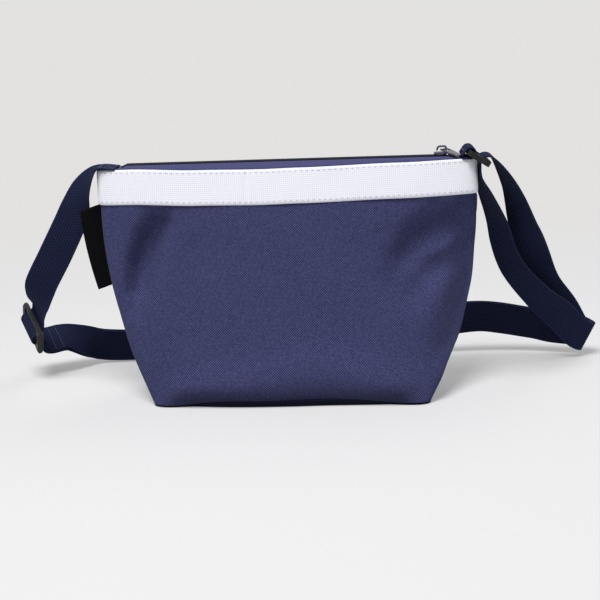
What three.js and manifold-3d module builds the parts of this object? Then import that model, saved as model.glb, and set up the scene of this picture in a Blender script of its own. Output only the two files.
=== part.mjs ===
// Shoulder pouch with a zip mouth and an adjustable webbing strap.
// Millimetres, +Z up, origin at the middle of the base, front of the pouch towards -Y.
import * as THREE from 'three';
import { mergeVertices } from 'three/addons/utils/BufferGeometryUtils.js';
import Module from 'manifold-3d';

const wasm = await Module();
wasm.setup();

// Pouch body
const topHalfWidth = 135;
const baseHalfWidth = 98.5;
const baseHalfDepth = 36.5;
const mouthHalfDepth = 12.5;
const bagHeight = 170;
const taperHeight = 140;
const clothThickness = 1.2;
const baseThickness = 1.4;
const bindingWidth = 9;
const bindingThickness = 1.6;
const baseBindingHeight = 7;
const fit = 0.3;

// White band and side tag
const bandWidth = 25;
const bandThickness = 1.2;
const tagHeight = 60;
const tagReach = 15;
const tagTopBelowBand = 3;
const tagThickness = 0.5;

// Zip
const chainHeight = 3;
const chainHalfWidth = 2.6;
const toothPitch = 2.5;
const toothThickness = 2.2;
const toothReach = 0.9;
const spineWidth = 0.9;
const tapeThickness = 0.8;
const tapeDrop = 12;
const tapeEndInset = 9;
const chainStartInset = 16;
const stopLength = 3;
const sliderInset = 23.25;
const sliderLength = 9.5;
const sliderHalfWidth = 3.7;
const sliderPlate = 1.2;
const crownHeight = 4.7;
const crownBar = 1.3;
const crownWidth = 1.2;
const pullLength = 16.5;
const pullWidth = 7.4;
const pullThickness = 1.2;
const pullYaw = THREE.MathUtils.degToRad(-50);
const pullDroop = THREE.MathUtils.degToRad(13);

// Webbing, ring and adjuster
const webbingWidth = 25;
const webbingThickness = 1.4;
const layerGap = 0.6;
const looseGap = 0.6;
const sampleLength = 5;
const sampleTwist = THREE.MathUtils.degToRad(5);
const ringOuterLength = 33;
const ringOuterDepth = 18;
const ringBar = 3.6;
const ringThickness = 4;
const ringTilt = THREE.MathUtils.degToRad(32.3);
const ringSlack = 1.6;
const adjusterWidth = 34;
const adjusterLength = 24;
const adjusterBar = 3;
const adjusterCentreBar = 3.2;
const adjusterThickness = 3;
const adjusterSlack = 1.8;
const strapEndOverlap = 13;
const adjusterOut = 71;
const adjusterBack = 48;
const adjusterHeight = 41;
const rearRunGap = 56.5;

// Colours and finishes
function finish(color, roughness, metalness = 0) {
  return new THREE.MeshStandardMaterial({ color, roughness, metalness });
}
const navyCloth = finish(0x3c3c64, 0.85);
const navyWebbing = finish(0x1d2240, 0.8);
const whiteWebbing = finish(0xf0f0fa, 0.8);
const zipTapeCloth = finish(0x33335c, 0.85);
const zipTeeth = finish(0x1b1c26, 0.45);
const gunmetal = finish(0x5a5a62, 0.4, 0.8);
const darkPlastic = finish(0x33342f, 0.5);
const blackCloth = finish(0x101012, 0.9);
const bindingTape = finish(0x1a1d38, 0.85);

const part = new THREE.Group();

function addPiece(name, geometry, material) {
  const mesh = new THREE.Mesh(geometry, material);
  mesh.name = name;
  part.add(mesh);
  return mesh;
}

// Turns points and triangles into one closed geometry whose faces point outwards
function closedBody(points, triangles) {
  let volume = 0;
  for (let i = 0; i < triangles.length; i += 3) {
    const [a, b, c] = [0, 1, 2].map((k) => points[triangles[i + k]]);
    volume += a.dot(b.clone().cross(c));
  }
  const geometry = new THREE.BufferGeometry().setFromPoints(points);
  geometry.setIndex(volume < 0 ? triangles.reverse() : triangles);
  geometry.computeVertexNormals();
  return geometry;
}

// A sheet between two faces, each given as a function of (0..1 along, 0..1 across)
function sheet(columns, rows, outer, inner) {
  const points = [];
  for (const face of [outer, inner]) {
    for (let r = 0; r <= rows; r++) {
      for (let c = 0; c <= columns; c++) {
        points.push(face(c / columns, r / rows));
      }
    }
  }
  const at = (side, c, r) => (side * (rows + 1) + r) * (columns + 1) + c;
  const triangles = [];
  const quad = (a, b, c, d) => triangles.push(a, b, c, a, c, d);
  for (let c = 0; c < columns; c++) {
    for (let r = 0; r < rows; r++) {
      quad(at(0, c, r), at(0, c + 1, r), at(0, c + 1, r + 1), at(0, c, r + 1));
      quad(at(1, c, r), at(1, c, r + 1), at(1, c + 1, r + 1), at(1, c + 1, r));
    }
    quad(at(0, c, 0), at(1, c, 0), at(1, c + 1, 0), at(0, c + 1, 0));
    quad(at(0, c, rows), at(0, c + 1, rows), at(1, c + 1, rows), at(1, c, rows));
  }
  for (let r = 0; r < rows; r++) {
    quad(at(0, 0, r), at(0, 0, r + 1), at(1, 0, r + 1), at(1, 0, r));
    quad(at(0, columns, r), at(1, columns, r), at(1, columns, r + 1), at(0, columns, r + 1));
  }
  return closedBody(points, triangles);
}

// Solids for cutting and joining
function solidOf(geometry) {
  const bare = geometry.clone();
  bare.deleteAttribute('normal');
  bare.deleteAttribute('uv');
  const merged = mergeVertices(bare, 1e-4);
  const vertProperties = new Float32Array(merged.attributes.position.array);
  const triVerts = new Uint32Array(merged.index.array);
  return new wasm.Manifold(new wasm.Mesh({ numProp: 3, vertProperties, triVerts }));
}

function geometryOf(solid) {
  const { vertProperties, triVerts } = solid.getMesh();
  const geometry = new THREE.BufferGeometry();
  geometry.setAttribute('position', new THREE.BufferAttribute(vertProperties, 3));
  geometry.setIndex(new THREE.BufferAttribute(triVerts, 1));
  geometry.computeVertexNormals();
  return geometry;
}

// Outline of the pouch at a height: a rounded rectangle, narrow and deep at the base, slim at the mouth
function halfWidthAt(z) {
  const lift = Math.max(0, 1 - z / taperHeight);
  return topHalfWidth - (topHalfWidth - baseHalfWidth) * lift * lift;
}

function halfDepthAt(z) {
  const rise = z / bagHeight;
  return mouthHalfDepth + (baseHalfDepth - mouthHalfDepth) * (1 - rise ** 1.25);
}

function squarenessAt(z) {
  const rise = z / bagHeight;
  return 3.2 + 3.8 * (1 - rise) ** 2 + 1.8 * rise ** 4;
}

function wallPoint(angle, z, offset) {
  const [c, s, n] = [Math.cos(angle), Math.sin(angle), squarenessAt(z)];
  const reach = (Math.abs(c) ** n + Math.abs(s) ** n) ** (-1 / n);
  const x = (halfWidthAt(z) + offset) * c * reach;
  const y = (halfDepthAt(z) + offset) * s * reach;
  return new THREE.Vector3(x, y, z);
}

// Half of the wall round the pouch, seam to seam: side -1 is the front, +1 the back
function halfWall(side, zLow, zHigh, offsetOut, thickness, columns, rows) {
  const face = (offset) => (u, v) => {
    const point = wallPoint(side * Math.PI * u, zLow + (zHigh - zLow) * v, offset);
    point.y += side * fit / 2;
    return point;
  };
  return sheet(columns, rows, face(offsetOut), face(offsetOut - thickness));
}

// Cloth panels
const wallFoot = baseThickness + fit;
const panelSides = { front_panel: -1, back_panel: 1 };
for (const [name, side] of Object.entries(panelSides)) {
  addPiece(name, halfWall(side, wallFoot, bagHeight, 0, clothThickness, 36, 14), navyCloth);
}

const baseOutline = [];
for (let i = 0; i < 40; i++) {
  const point = wallPoint(i / 40 * 2 * Math.PI, 0, 0);
  baseOutline.push(new THREE.Vector2(point.x, point.y));
}
const baseGeometry = new THREE.ExtrudeGeometry(new THREE.Shape(baseOutline), {
  depth: baseThickness,
  bevelEnabled: false,
});
addPiece('bottom_panel', baseGeometry, navyCloth);

// Bound seam allowances inside
const bindingOffset = -clothThickness - fit;
for (const [name, side] of Object.entries({ base_binding_front: -1, base_binding_back: 1 })) {
  const top = wallFoot + baseBindingHeight;
  addPiece(name, halfWall(side, wallFoot, top, bindingOffset, bindingThickness / 2, 28, 2), bindingTape);
}

const bindingInset = clothThickness + fit;
for (const [name, side] of Object.entries({ seam_binding_left: -1, seam_binding_right: 1 })) {
  const zLow = wallFoot + baseBindingHeight + fit;
  const zHigh = bagHeight - tapeDrop - fit;
  const face = (y) => (u, v) => {
    const z = zLow + (zHigh - zLow) * u;
    return new THREE.Vector3(side * (halfWidthAt(z) - bindingInset - bindingWidth * v), y, z);
  };
  addPiece(name, sheet(12, 1, face(bindingThickness / 2), face(-bindingThickness / 2)), bindingTape);
}

// White band along the top of the front
const bandTop = bagHeight + fit;
const bandFoot = bandTop - bandWidth;
const bandOffset = fit + bandThickness;
addPiece('white_band', halfWall(-1, bandFoot, bandTop, bandOffset, bandThickness, 36, 3), whiteWebbing);

// Folded tag standing out of the left side seam
const tagTop = bandFoot - tagTopBelowBand;
const tagFold = 0.9;
const tagSwing = 0.3;
function tagFace(offset) {
  const half = tagFold + offset;
  return (u, v) => {
    const z = tagTop - tagHeight * v;
    const root = -(halfWidthAt(z) + fit);
    const turn = THREE.MathUtils.clamp((u - 0.4) / 0.2, 0, 1) * Math.PI;
    const straight = tagReach - tagFold;
    const out = u < 0.4 ? straight * u / 0.4 : u > 0.6 ? straight * (1 - u) / 0.4 : straight;
    const reach = out + half * Math.sin(turn);
    return new THREE.Vector3(root - reach, half * Math.cos(turn) - tagSwing * reach, z);
  };
}
addPiece('side_tag', sheet(10, 6, tagFace(0), tagFace(-tagThickness)), blackCloth);

// Zip tapes: flat beside the teeth, sloping to the cloth, then turned down inside it
const chainZ = bagHeight + chainHeight;
const tapeEdge = chainHalfWidth + fit;
const tapeHalfLength = topHalfWidth - tapeEndInset;
const tapeFlat = sliderHalfWidth + 0.9;

function mouthInnerAt(x) {
  const n = squarenessAt(bagHeight);
  const along = Math.abs(x) / (topHalfWidth - clothThickness);
  return (mouthHalfDepth - clothThickness) * (1 - along ** n) ** (1 / n) - fit / 2;
}

function tapeFace(side, profile) {
  return (u, v) => {
    const x = tapeHalfLength * (2 * u - 1);
    const [y, z] = profile(mouthInnerAt(x))[Math.round(v * 4)];
    return new THREE.Vector3(x, side * y, z);
  };
}

const tapeTop = chainZ + tapeThickness / 2;
const tapeUnder = chainZ - tapeThickness / 2;
const tapeFoot = bagHeight - tapeDrop;
const upperProfile = (edge) => [
  [tapeEdge, tapeTop],
  [tapeFlat, tapeTop],
  [edge - 0.9, bagHeight + 1.4],
  [edge, bagHeight + 0.4],
  [edge, tapeFoot],
];
const lowerProfile = (edge) => [
  [tapeEdge, tapeUnder],
  [tapeFlat - 0.1, tapeUnder],
  [edge - 1.2, bagHeight + 0.6],
  [edge - tapeThickness, bagHeight + 0.2],
  [edge - tapeThickness, tapeFoot],
];
for (const [name, side] of Object.entries({ zip_tape_front: -1, zip_tape_back: 1 })) {
  const body = sheet(20, 4, tapeFace(side, upperProfile), tapeFace(side, lowerProfile));
  addPiece(name, body, zipTapeCloth);
}

// Two rows of teeth, each a spine with teeth that reach between those of the other row
const sliderX = topHalfWidth - sliderInset;
const diamondStart = 0.9;
const chainStart = -topHalfWidth + chainStartInset;
const chainEnd = sliderX + diamondStart - fit;
const toothWidth = toothPitch / 2 - fit;
const toothCount = Math.floor((chainEnd - chainStart) / toothPitch) - 1;

function extruded(shape, depth, lift) {
  const geometry = new THREE.ExtrudeGeometry(shape, { depth, bevelEnabled: false, curveSegments: 6 });
  return geometry.translate(0, 0, lift);
}

function toothRow(side, firstTooth) {
  const back = side * chainHalfWidth;
  const root = side * (chainHalfWidth - spineWidth);
  const tip = -side * toothReach;
  const outline = new THREE.Shape();
  outline.moveTo(chainStart, back);
  outline.lineTo(chainEnd, back);
  outline.lineTo(chainEnd, root);
  for (let i = toothCount - 1; i >= 0; i--) {
    const x = chainStart + firstTooth + i * toothPitch;
    outline.lineTo(x + toothWidth, root);
    outline.lineTo(x + toothWidth * 0.85, tip);
    outline.lineTo(x + toothWidth * 0.15, tip);
    outline.lineTo(x, root);
  }
  outline.lineTo(chainStart, root);
  return extruded(outline, toothThickness, chainZ - toothThickness / 2);
}
addPiece('zip_teeth_front', toothRow(-1, fit), zipTeeth);
addPiece('zip_teeth_back', toothRow(1, fit + toothPitch / 2), zipTeeth);

// Stops at both ends of the teeth
function block(x0, x1, y0, y1, z0, z1) {
  const geometry = new THREE.BoxGeometry(x1 - x0, y1 - y0, z1 - z0);
  return geometry.translate((x0 + x1) / 2, (y0 + y1) / 2, (z0 + z1) / 2);
}
const stopHalf = toothThickness / 2 + 0.2;
const stopEnd = chainStart - fit;
const stopBase = [chainZ - stopHalf, chainZ + stopHalf];
addPiece('zip_bottom_stop',
  block(stopEnd - stopLength, stopEnd, -chainHalfWidth, chainHalfWidth, ...stopBase), gunmetal);
const noseX = sliderX + sliderLength / 2;
for (const [name, side] of Object.entries({ zip_top_stop_front: -1, zip_top_stop_back: 1 })) {
  const [inner, outer] = [side * toothReach, side * chainHalfWidth].sort((a, b) => a - b);
  addPiece(name, block(noseX + fit, noseX + fit + stopLength, inner, outer, ...stopBase), gunmetal);
}

// Slider: two plates held apart by a diamond at the nose, rims beside the teeth, and a hooked crown
function sliderBody() {
  const half = sliderLength / 2;
  const plate = new THREE.Shape();
  plate.moveTo(-half, -sliderHalfWidth * 0.8);
  plate.lineTo(-half * 0.6, -sliderHalfWidth);
  plate.lineTo(half * 0.45, -sliderHalfWidth);
  plate.quadraticCurveTo(half, -sliderHalfWidth, half, -sliderHalfWidth * 0.45);
  plate.lineTo(half, sliderHalfWidth * 0.45);
  plate.quadraticCurveTo(half, sliderHalfWidth, half * 0.45, sliderHalfWidth);
  plate.lineTo(-half * 0.6, sliderHalfWidth);
  plate.lineTo(-half, sliderHalfWidth * 0.8);
  const channel = toothThickness / 2 + fit;
  const upper = extruded(plate, sliderPlate, channel);
  const lower = extruded(plate, sliderPlate, -channel - sliderPlate);
  const diamond = new THREE.Shape();
  diamond.moveTo(diamondStart, 0);
  diamond.lineTo(diamondStart + 1.6, -1.2);
  diamond.lineTo(half - 0.5, 0);
  diamond.lineTo(diamondStart + 1.6, 1.2);
  let body = solidOf(upper).add(solidOf(lower));
  body = body.add(solidOf(extruded(diamond, 2 * channel + 0.4, -channel - 0.2)));
  const rimInner = chainHalfWidth + fit;
  const rimGap = tapeThickness / 2 + fit;
  for (const side of [-1, 1]) {
    const [y0, y1] = [side * rimInner, side * (sliderHalfWidth - 0.05)].sort((a, b) => a - b);
    body = body.add(solidOf(block(-half * 0.55, half * 0.3, y0, y1, rimGap, channel + 0.2)));
    body = body.add(solidOf(block(-half * 0.55, half * 0.3, y0, y1, -channel - 0.2, -rimGap)));
  }
  return body.add(solidOf(crownHook(channel + sliderPlate)));
}

// The crown rises at the nose, runs back over the plate and ends in a free hooked tip
const crownNose = 4.5;
const crownTail = -3.2;
const hookGap = 1.1;
function crownHook(plateTop) {
  const top = crownHeight;
  const under = crownHeight - crownBar;
  const hook = new THREE.Shape();
  hook.moveTo(crownTail, hookGap);
  hook.quadraticCurveTo(crownTail, top, crownTail + 3, top);
  hook.lineTo(crownNose - 2, top);
  hook.quadraticCurveTo(crownNose, top, crownNose, top - 2);
  hook.lineTo(crownNose, -0.3);
  hook.lineTo(crownNose - crownBar, -0.3);
  hook.lineTo(crownNose - crownBar, under - 1);
  hook.quadraticCurveTo(crownNose - crownBar, under, crownNose - crownBar - 1, under);
  hook.lineTo(crownTail + 3, under);
  hook.quadraticCurveTo(crownTail + crownBar, under, crownTail + crownBar, hookGap);
  const geometry = extruded(hook, crownWidth, -crownWidth / 2).rotateX(Math.PI / 2);
  return geometry.translate(0, 0, plateTop);
}
const slider = addPiece('zip_slider', geometryOf(sliderBody()), gunmetal);
slider.position.set(sliderX, 0, chainZ);

// Pull: a tapered plate whose eye hangs on the nose leg of the crown
const eyeHalf = pullWidth / 2 - 0.9;
const eyeBar = 1.2;
const eyeLength = 3.7;
function pullShape() {
  const half = pullWidth / 2;
  const end = pullLength - eyeBar / 2;
  const waist = half * 0.7;
  const plate = new THREE.Shape();
  plate.moveTo(-eyeBar / 2, -half);
  plate.lineTo(eyeLength + eyeBar, -half);
  plate.lineTo(end - waist, -waist);
  plate.quadraticCurveTo(end, -waist, end, 0);
  plate.quadraticCurveTo(end, waist, end - waist, waist);
  plate.lineTo(eyeLength + eyeBar, half);
  plate.lineTo(-eyeBar / 2, half);
  const eye = new THREE.Path();
  eye.moveTo(eyeBar / 2, -eyeHalf);
  eye.lineTo(eyeBar / 2, eyeHalf);
  eye.lineTo(eyeBar / 2 + eyeLength, eyeHalf);
  eye.lineTo(eyeBar / 2 + eyeLength, -eyeHalf);
  plate.holes.push(eye);
  return plate;
}
const legX = sliderX + crownNose - crownBar / 2;
const legToBar = 1.8;
const pullAlong = new THREE.Vector3(Math.cos(pullYaw), Math.sin(pullYaw), 0);
const pullAcross = new THREE.Vector3(-Math.sin(pullYaw), Math.cos(pullYaw), 0);
const plateTopZ = chainZ + toothThickness / 2 + fit + sliderPlate;
const pullPivot = new THREE.Vector3(legX, 0, plateTopZ + (crownHeight - crownBar) / 2);
pullPivot.addScaledVector(pullAlong, -legToBar);
const pullDown = pullAlong.clone().applyAxisAngle(pullAcross, pullDroop);
const pull = addPiece('zip_pull', extruded(pullShape(), pullThickness, -pullThickness / 2), gunmetal);
const pullTurn = new THREE.Matrix4().makeBasis(pullDown, pullAcross, pullDown.clone().cross(pullAcross));
pull.setRotationFromMatrix(pullTurn);
pull.position.copy(pullPivot);

// Rectangular ring, tilted down to the right from the bar that its tab holds
const ringBarInset = 3.1;
const ringBarLift = 5.6;
const ringPivot = new THREE.Vector3(topHalfWidth - ringBarInset, 0, bagHeight + ringBarLift);
const ringAlong = new THREE.Vector3(Math.cos(ringTilt), 0, -Math.sin(ringTilt));
const barSpacing = ringOuterDepth - ringBar;

function roundedRectangle(path, width, height, radius) {
  const [x, y] = [width / 2, height / 2];
  path.moveTo(-x + radius, -y);
  path.lineTo(x - radius, -y);
  path.quadraticCurveTo(x, -y, x, -y + radius);
  path.lineTo(x, y - radius);
  path.quadraticCurveTo(x, y, x - radius, y);
  path.lineTo(-x + radius, y);
  path.quadraticCurveTo(-x, y, -x, y - radius);
  path.lineTo(-x, -y + radius);
  path.quadraticCurveTo(-x, -y, -x + radius, -y);
  return path;
}
const ringShape = roundedRectangle(new THREE.Shape(), ringOuterDepth, ringOuterLength, 3);
ringShape.holes.push(
  roundedRectangle(new THREE.Path(), ringOuterDepth - 2 * ringBar, ringOuterLength - 2 * ringBar, 0.8));
const ring = addPiece('strap_ring', extruded(ringShape, ringThickness, -ringThickness / 2), darkPlastic);
ring.rotation.y = ringTilt;
ring.position.copy(ringPivot).addScaledVector(ringAlong, barSpacing / 2);

// A ribbon through stations of a centre point and a direction across its width
function curveThrough(stations) {
  return new THREE.CatmullRomCurve3(stations.map((s) => s.point), false, 'centripetal');
}

// The webbing's middle, its direction across and its face normal, between station i and i + 1
function sampleAt(stations, curve, i, along) {
  const last = stations.length - 1;
  const t = Math.min(1, (i + along) / last);
  const tangent = curve.getTangent(t);
  const next = stations[Math.min(i + 1, last)];
  const across = stations[i].across.clone().lerp(next.across, along);
  across.addScaledVector(tangent, -across.dot(tangent)).normalize();
  return { point: curve.getPoint(t), across, normal: tangent.cross(across) };
}

function ribbon(stations, width, thickness) {
  const curve = curveThrough(stations);
  const samples = [];
  const last = stations.length - 1;
  for (let i = 0; i < last; i++) {
    const length = stations[i].point.distanceTo(stations[i + 1].point);
    const twist = stations[i].across.angleTo(stations[i + 1].across);
    const wanted = Math.max(Math.round(length / sampleLength), Math.round(twist / sampleTwist));
    const steps = THREE.MathUtils.clamp(wanted, 2, 8);
    for (let k = 0; k < steps; k++) {
      samples.push(sampleAt(stations, curve, i, k / steps));
    }
  }
  samples.push(sampleAt(stations, curve, last, 0));
  const face = (offset) => (u, v) => {
    const s = samples[Math.round(u * (samples.length - 1))];
    const point = s.point.clone().addScaledVector(s.across, width * (v - 0.5));
    return point.addScaledVector(s.normal, offset);
  };
  return sheet(samples.length - 1, 1, face(thickness / 2), face(-thickness / 2));
}

function station(x, y, z, across) {
  return { point: new THREE.Vector3(x, y, z), across: new THREE.Vector3(...across).normalize() };
}

const acrossBag = [0, 1, 0];
const halfWebbing = webbingThickness / 2;

// Tab: a webbing loop round the inner bar of the ring, its two ends sewn to the end of the zip
const barReach = Math.hypot(ringBar, ringThickness) / 2;
const tabRadius = barReach + 0.4 + halfWebbing;
const tabEnd = tapeHalfLength + 0.5;
const tabLow = tapeTop + fit + halfWebbing;
const tabStations = [station(tabEnd, 0, tabLow, acrossBag)];
for (let degrees = -120; degrees <= 120; degrees += 30) {
  const turn = THREE.MathUtils.degToRad(degrees);
  const x = ringPivot.x + tabRadius * Math.cos(turn);
  tabStations.push(station(x, 0, ringPivot.z + tabRadius * Math.sin(turn), acrossBag));
}
tabStations.push(station(tabEnd, 0, tabLow + webbingThickness + layerGap, acrossBag));
addPiece('ring_tab', ribbon(tabStations, webbingWidth, webbingThickness), navyWebbing);

// Three-bar adjuster: a plate with two slots between thicker, bevelled end rails
const adjusterAt = new THREE.Vector3(-topHalfWidth - adjusterOut, adjusterBack, adjusterHeight);
const adjusterTravel = new THREE.Vector3(-0.2, 0.55, -0.81).normalize();
const adjusterAcross = new THREE.Vector3(-0.45, 0.64, 0.62);
adjusterAcross.addScaledVector(adjusterTravel, -adjusterAcross.dot(adjusterTravel)).normalize();
const adjusterFace = adjusterTravel.clone().cross(adjusterAcross);
const slotWidth = webbingWidth + 0.8;
const railWidth = (adjusterWidth - slotWidth) / 2;
const railThickness = adjusterThickness + 2;

function adjusterBody() {
  const half = adjusterLength / 2;
  const plate = roundedRectangle(new THREE.Shape(), adjusterLength, adjusterWidth - railWidth, 1);
  let body = solidOf(extruded(plate, adjusterThickness, -adjusterThickness / 2));
  for (const side of [-1, 1]) {
    const [t0, t1] = [side * adjusterCentreBar / 2, side * (half - adjusterBar)].sort((p, q) => p - q);
    const slot = block(t0, t1, -slotWidth / 2, slotWidth / 2, -adjusterThickness, adjusterThickness);
    body = body.subtract(solidOf(slot));
  }
  const bevel = 1.4;
  const rail = new THREE.Shape();
  rail.moveTo(-half, -railThickness / 2 + bevel);
  rail.lineTo(-half + bevel * 2, -railThickness / 2);
  rail.lineTo(half - bevel * 2, -railThickness / 2);
  rail.lineTo(half, -railThickness / 2 + bevel);
  rail.lineTo(half, railThickness / 2 - bevel);
  rail.lineTo(half - bevel * 2, railThickness / 2);
  rail.lineTo(-half + bevel * 2, railThickness / 2);
  rail.lineTo(-half, railThickness / 2 - bevel);
  for (const side of [-1, 1]) {
    const lift = side * (slotWidth + railWidth) / 2;
    const bar = extruded(rail, railWidth, -railWidth / 2).rotateX(Math.PI / 2);
    body = body.add(solidOf(bar.translate(0, lift, 0)));
  }
  return body;
}
const adjuster = addPiece('strap_adjuster', geometryOf(adjusterBody()), darkPlastic);
adjuster.setRotationFromMatrix(
  new THREE.Matrix4().makeBasis(adjusterTravel, adjusterAcross, adjusterFace));
adjuster.position.copy(adjusterAt);

// Shoulder strap: one webbing from the left end of the zip, through the adjuster, round behind
// the pouch to the ring, and back to the adjuster, where its end is sewn round the centre bar
function threaded([along, off]) {
  const point = adjusterAt.clone().addScaledVector(adjusterTravel, along);
  return { point: point.addScaledVector(adjusterFace, off), across: adjusterAcross.clone() };
}

const layer = webbingThickness + layerGap;
const leftX = -topHalfWidth;
const rightX = topHalfWidth;
const strapEndZ = tapeTop + fit + halfWebbing;
const sewnEnd = [
  station(leftX - 1 + strapEndOverlap, 0, strapEndZ, acrossBag),
  station(leftX + 5, 0, strapEndZ, acrossBag),
  station(leftX - 1, 0, strapEndZ - 0.2, acrossBag),
];
const leftRun = [
  station(leftX - 5.5, 0.5, chainZ - 4, [-0.25, 0.96, 0.1]),
  station(leftX - 13, 4, chainZ - 17, [-0.72, 0.65, 0.3]),
  station(leftX - 24.5, 9, chainZ - 35.5, [-0.9, 0.2, 0.38]),
  station(leftX - 41, 18, chainZ - 66.5, [-0.9, 0.1, 0.42]),
  station(leftX - 55.4, 28, chainZ - 95, [-0.8, 0.3, 0.5]),
];

const besideBar = adjusterThickness / 2 + adjusterSlack + halfWebbing;
const loopRadius = Math.hypot(adjusterCentreBar, adjusterThickness) / 2 + fit + halfWebbing;
const overLoop = -(loopRadius + layer);
const intoSlot = [
  [-18, besideBar],
  [-12, besideBar],
  [-9.3, besideBar - 0.3],
  [-7.2, besideBar - 2.4],
  [-5.8, -1.4],
  [-3.6, overLoop + 1],
];
const outOfSlot = intoSlot.slice(1).map(([along, off]) => [-along, off]).reverse();
const throughAdjuster = [...intoSlot, [0, overLoop], ...outOfSlot].map(threaded);

const rearY = baseHalfDepth + rearRunGap;
const upright = [0, 0, 1];
const bendRadius = 9;
const bendStart = 13;
const tailStraight = 12;
const rearBend = [30, 60, 90].map((degrees) => {
  const turn = THREE.MathUtils.degToRad(degrees);
  const off = besideBar + bendRadius * (1 - Math.cos(turn));
  return threaded([bendStart + bendRadius * Math.sin(turn), off]);
});

// At its right end the strap turns back on itself, its top edge leaning outwards
const endTurnLean = THREE.MathUtils.degToRad(27);
const endTurnRadius = 8.5;
const endTurnAcross = [Math.sin(endTurnLean), 0, Math.cos(endTurnLean)];
const endTurn = [0, 45, 90, 135, 180].map((degrees) => {
  const turn = THREE.MathUtils.degToRad(degrees);
  const out = endTurnRadius * Math.sin(turn);
  const x = rightX + 88 + out * Math.cos(endTurnLean);
  const y = rearY - 4.5 - endTurnRadius * (1 - Math.cos(turn));
  return station(x, y, 19.5 - out * Math.sin(endTurnLean), endTurnAcross);
});
const rearRun = [
  ...rearBend,
  threaded([bendStart + bendRadius, besideBar + bendRadius + tailStraight]),
  station(leftX - 25, rearY - 1, 16, upright),
  station(leftX * 0.67, rearY, 14, upright),
  station(0, rearY, 20, upright),
  station(rightX * 0.67, rearY + 2, 26, upright),
  station(rightX + 14, rearY + 4, 28.5, upright),
  station(rightX + 47, rearY + 3, 23.8, upright),
  station(rightX + 70, rearY, 21.5, [0.2, 0, 0.98]),
  ...endTurn,
];
const nearRun = [
  station(rightX + 72.8, 62, 38.5, [0.7, 0, 0.7]),
  station(rightX + 55.4, 50, 57, [0.8, -0.1, 0.6]),
  station(rightX + 36.2, 38, 79.7, [0.86, -0.3, 0.42]),
  station(rightX + 25.2, 28, 99.7, [0.75, -0.62, 0.2]),
  station(rightX + 18.3, 17, 121.2, [0.55, -0.83, 0.08]),
  station(rightX + 8.6, 6, chainZ - 26.7, [0.3, -0.95, 0]),
  station(rightX + 3.9, 0.5, chainZ - 13, [0.05, -1, 0]),
];
const farRun = [
  station(rightX + 18.5, 1, chainZ - 10.5, [0.2, -0.98, 0]),
  station(rightX + 27.4, 8, chainZ - 28, [0.4, -0.9, 0.05]),
  station(rightX + 37, 22, chainZ - 54, [0.65, -0.7, 0.2]),
  station(rightX + 49.3, 46, chainZ - 83.5, [0.8, -0.3, 0.45]),
  station(rightX + 62, 58, chainZ - 108.5, [0.85, -0.05, 0.52]),
  station(rightX + 80, 68, 41.7, [0.7, 0, 0.7]),
];

const outerBar = ringPivot.clone().addScaledVector(ringAlong, barSpacing);
const bight = barReach + ringSlack + halfWebbing;
const acrossRing = [0, -1, 0];
const roundRing = [];
for (let degrees = 180; degrees >= 45; degrees -= 27) {
  const turn = THREE.MathUtils.degToRad(degrees);
  const x = outerBar.x + bight * Math.cos(turn);
  roundRing.push(station(x, 0, outerBar.z + bight * Math.sin(turn), acrossRing));
}

// The webbing's second and third layers follow its first at a set distance
const guide = [...throughAdjuster.slice(-2), ...rearRun, ...nearRun.slice(0, 2)];
const guideCurve = curveThrough(guide);
function layered(along, offset) {
  const i = Math.floor(along);
  const { point, across, normal } = sampleAt(guide, guideCurve, i, along - i);
  return { point: point.addScaledVector(normal, offset), across };
}

const tailEnd = 5;
const endTurnStart = 10;
const layerStep = 0.5;
const returnRun = [];
for (let along = guide.length - 3; along >= 2; along -= layerStep) {
  const overTail = layer * THREE.MathUtils.clamp((tailEnd + 3 - along) / 2, 0, 1);
  const loose = looseGap * THREE.MathUtils.clamp((along - endTurnStart) / 2, 0, 1);
  returnRun.push(layered(along, layer + overTail + loose));
}

const besideTail = besideBar + 2 * layer;
const roundCentreBar = [
  [bendStart, besideTail],
  [8, besideTail - 0.8],
  [4, besideTail - 2.9],
];
for (let degrees = 75; degrees <= 345; degrees += 30) {
  const turn = THREE.MathUtils.degToRad(degrees);
  roundCentreBar.push([loopRadius * Math.cos(turn), loopRadius * Math.sin(turn)]);
}
const tailOffset = besideBar + layer;
roundCentreBar.push([4.3, 2.2], [6.5, tailOffset - 1.7], [9.5, tailOffset - 0.3]);
roundCentreBar.push([bendStart, tailOffset]);
const sewnTail = [];
for (let along = 2; along <= tailEnd; along += layerStep) {
  sewnTail.push(layered(along, layer));
}

const strapStations = [
  ...sewnEnd,
  ...leftRun,
  ...throughAdjuster,
  ...rearRun,
  ...nearRun,
  ...roundRing,
  ...farRun,
  ...returnRun,
  ...roundCentreBar.map(threaded),
  ...sewnTail,
];
addPiece('shoulder_strap', ribbon(strapStations, webbingWidth, webbingThickness), navyWebbing);

export default part;
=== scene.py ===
import math

import bmesh
import bpy
from mathutils import Matrix, Vector


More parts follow.
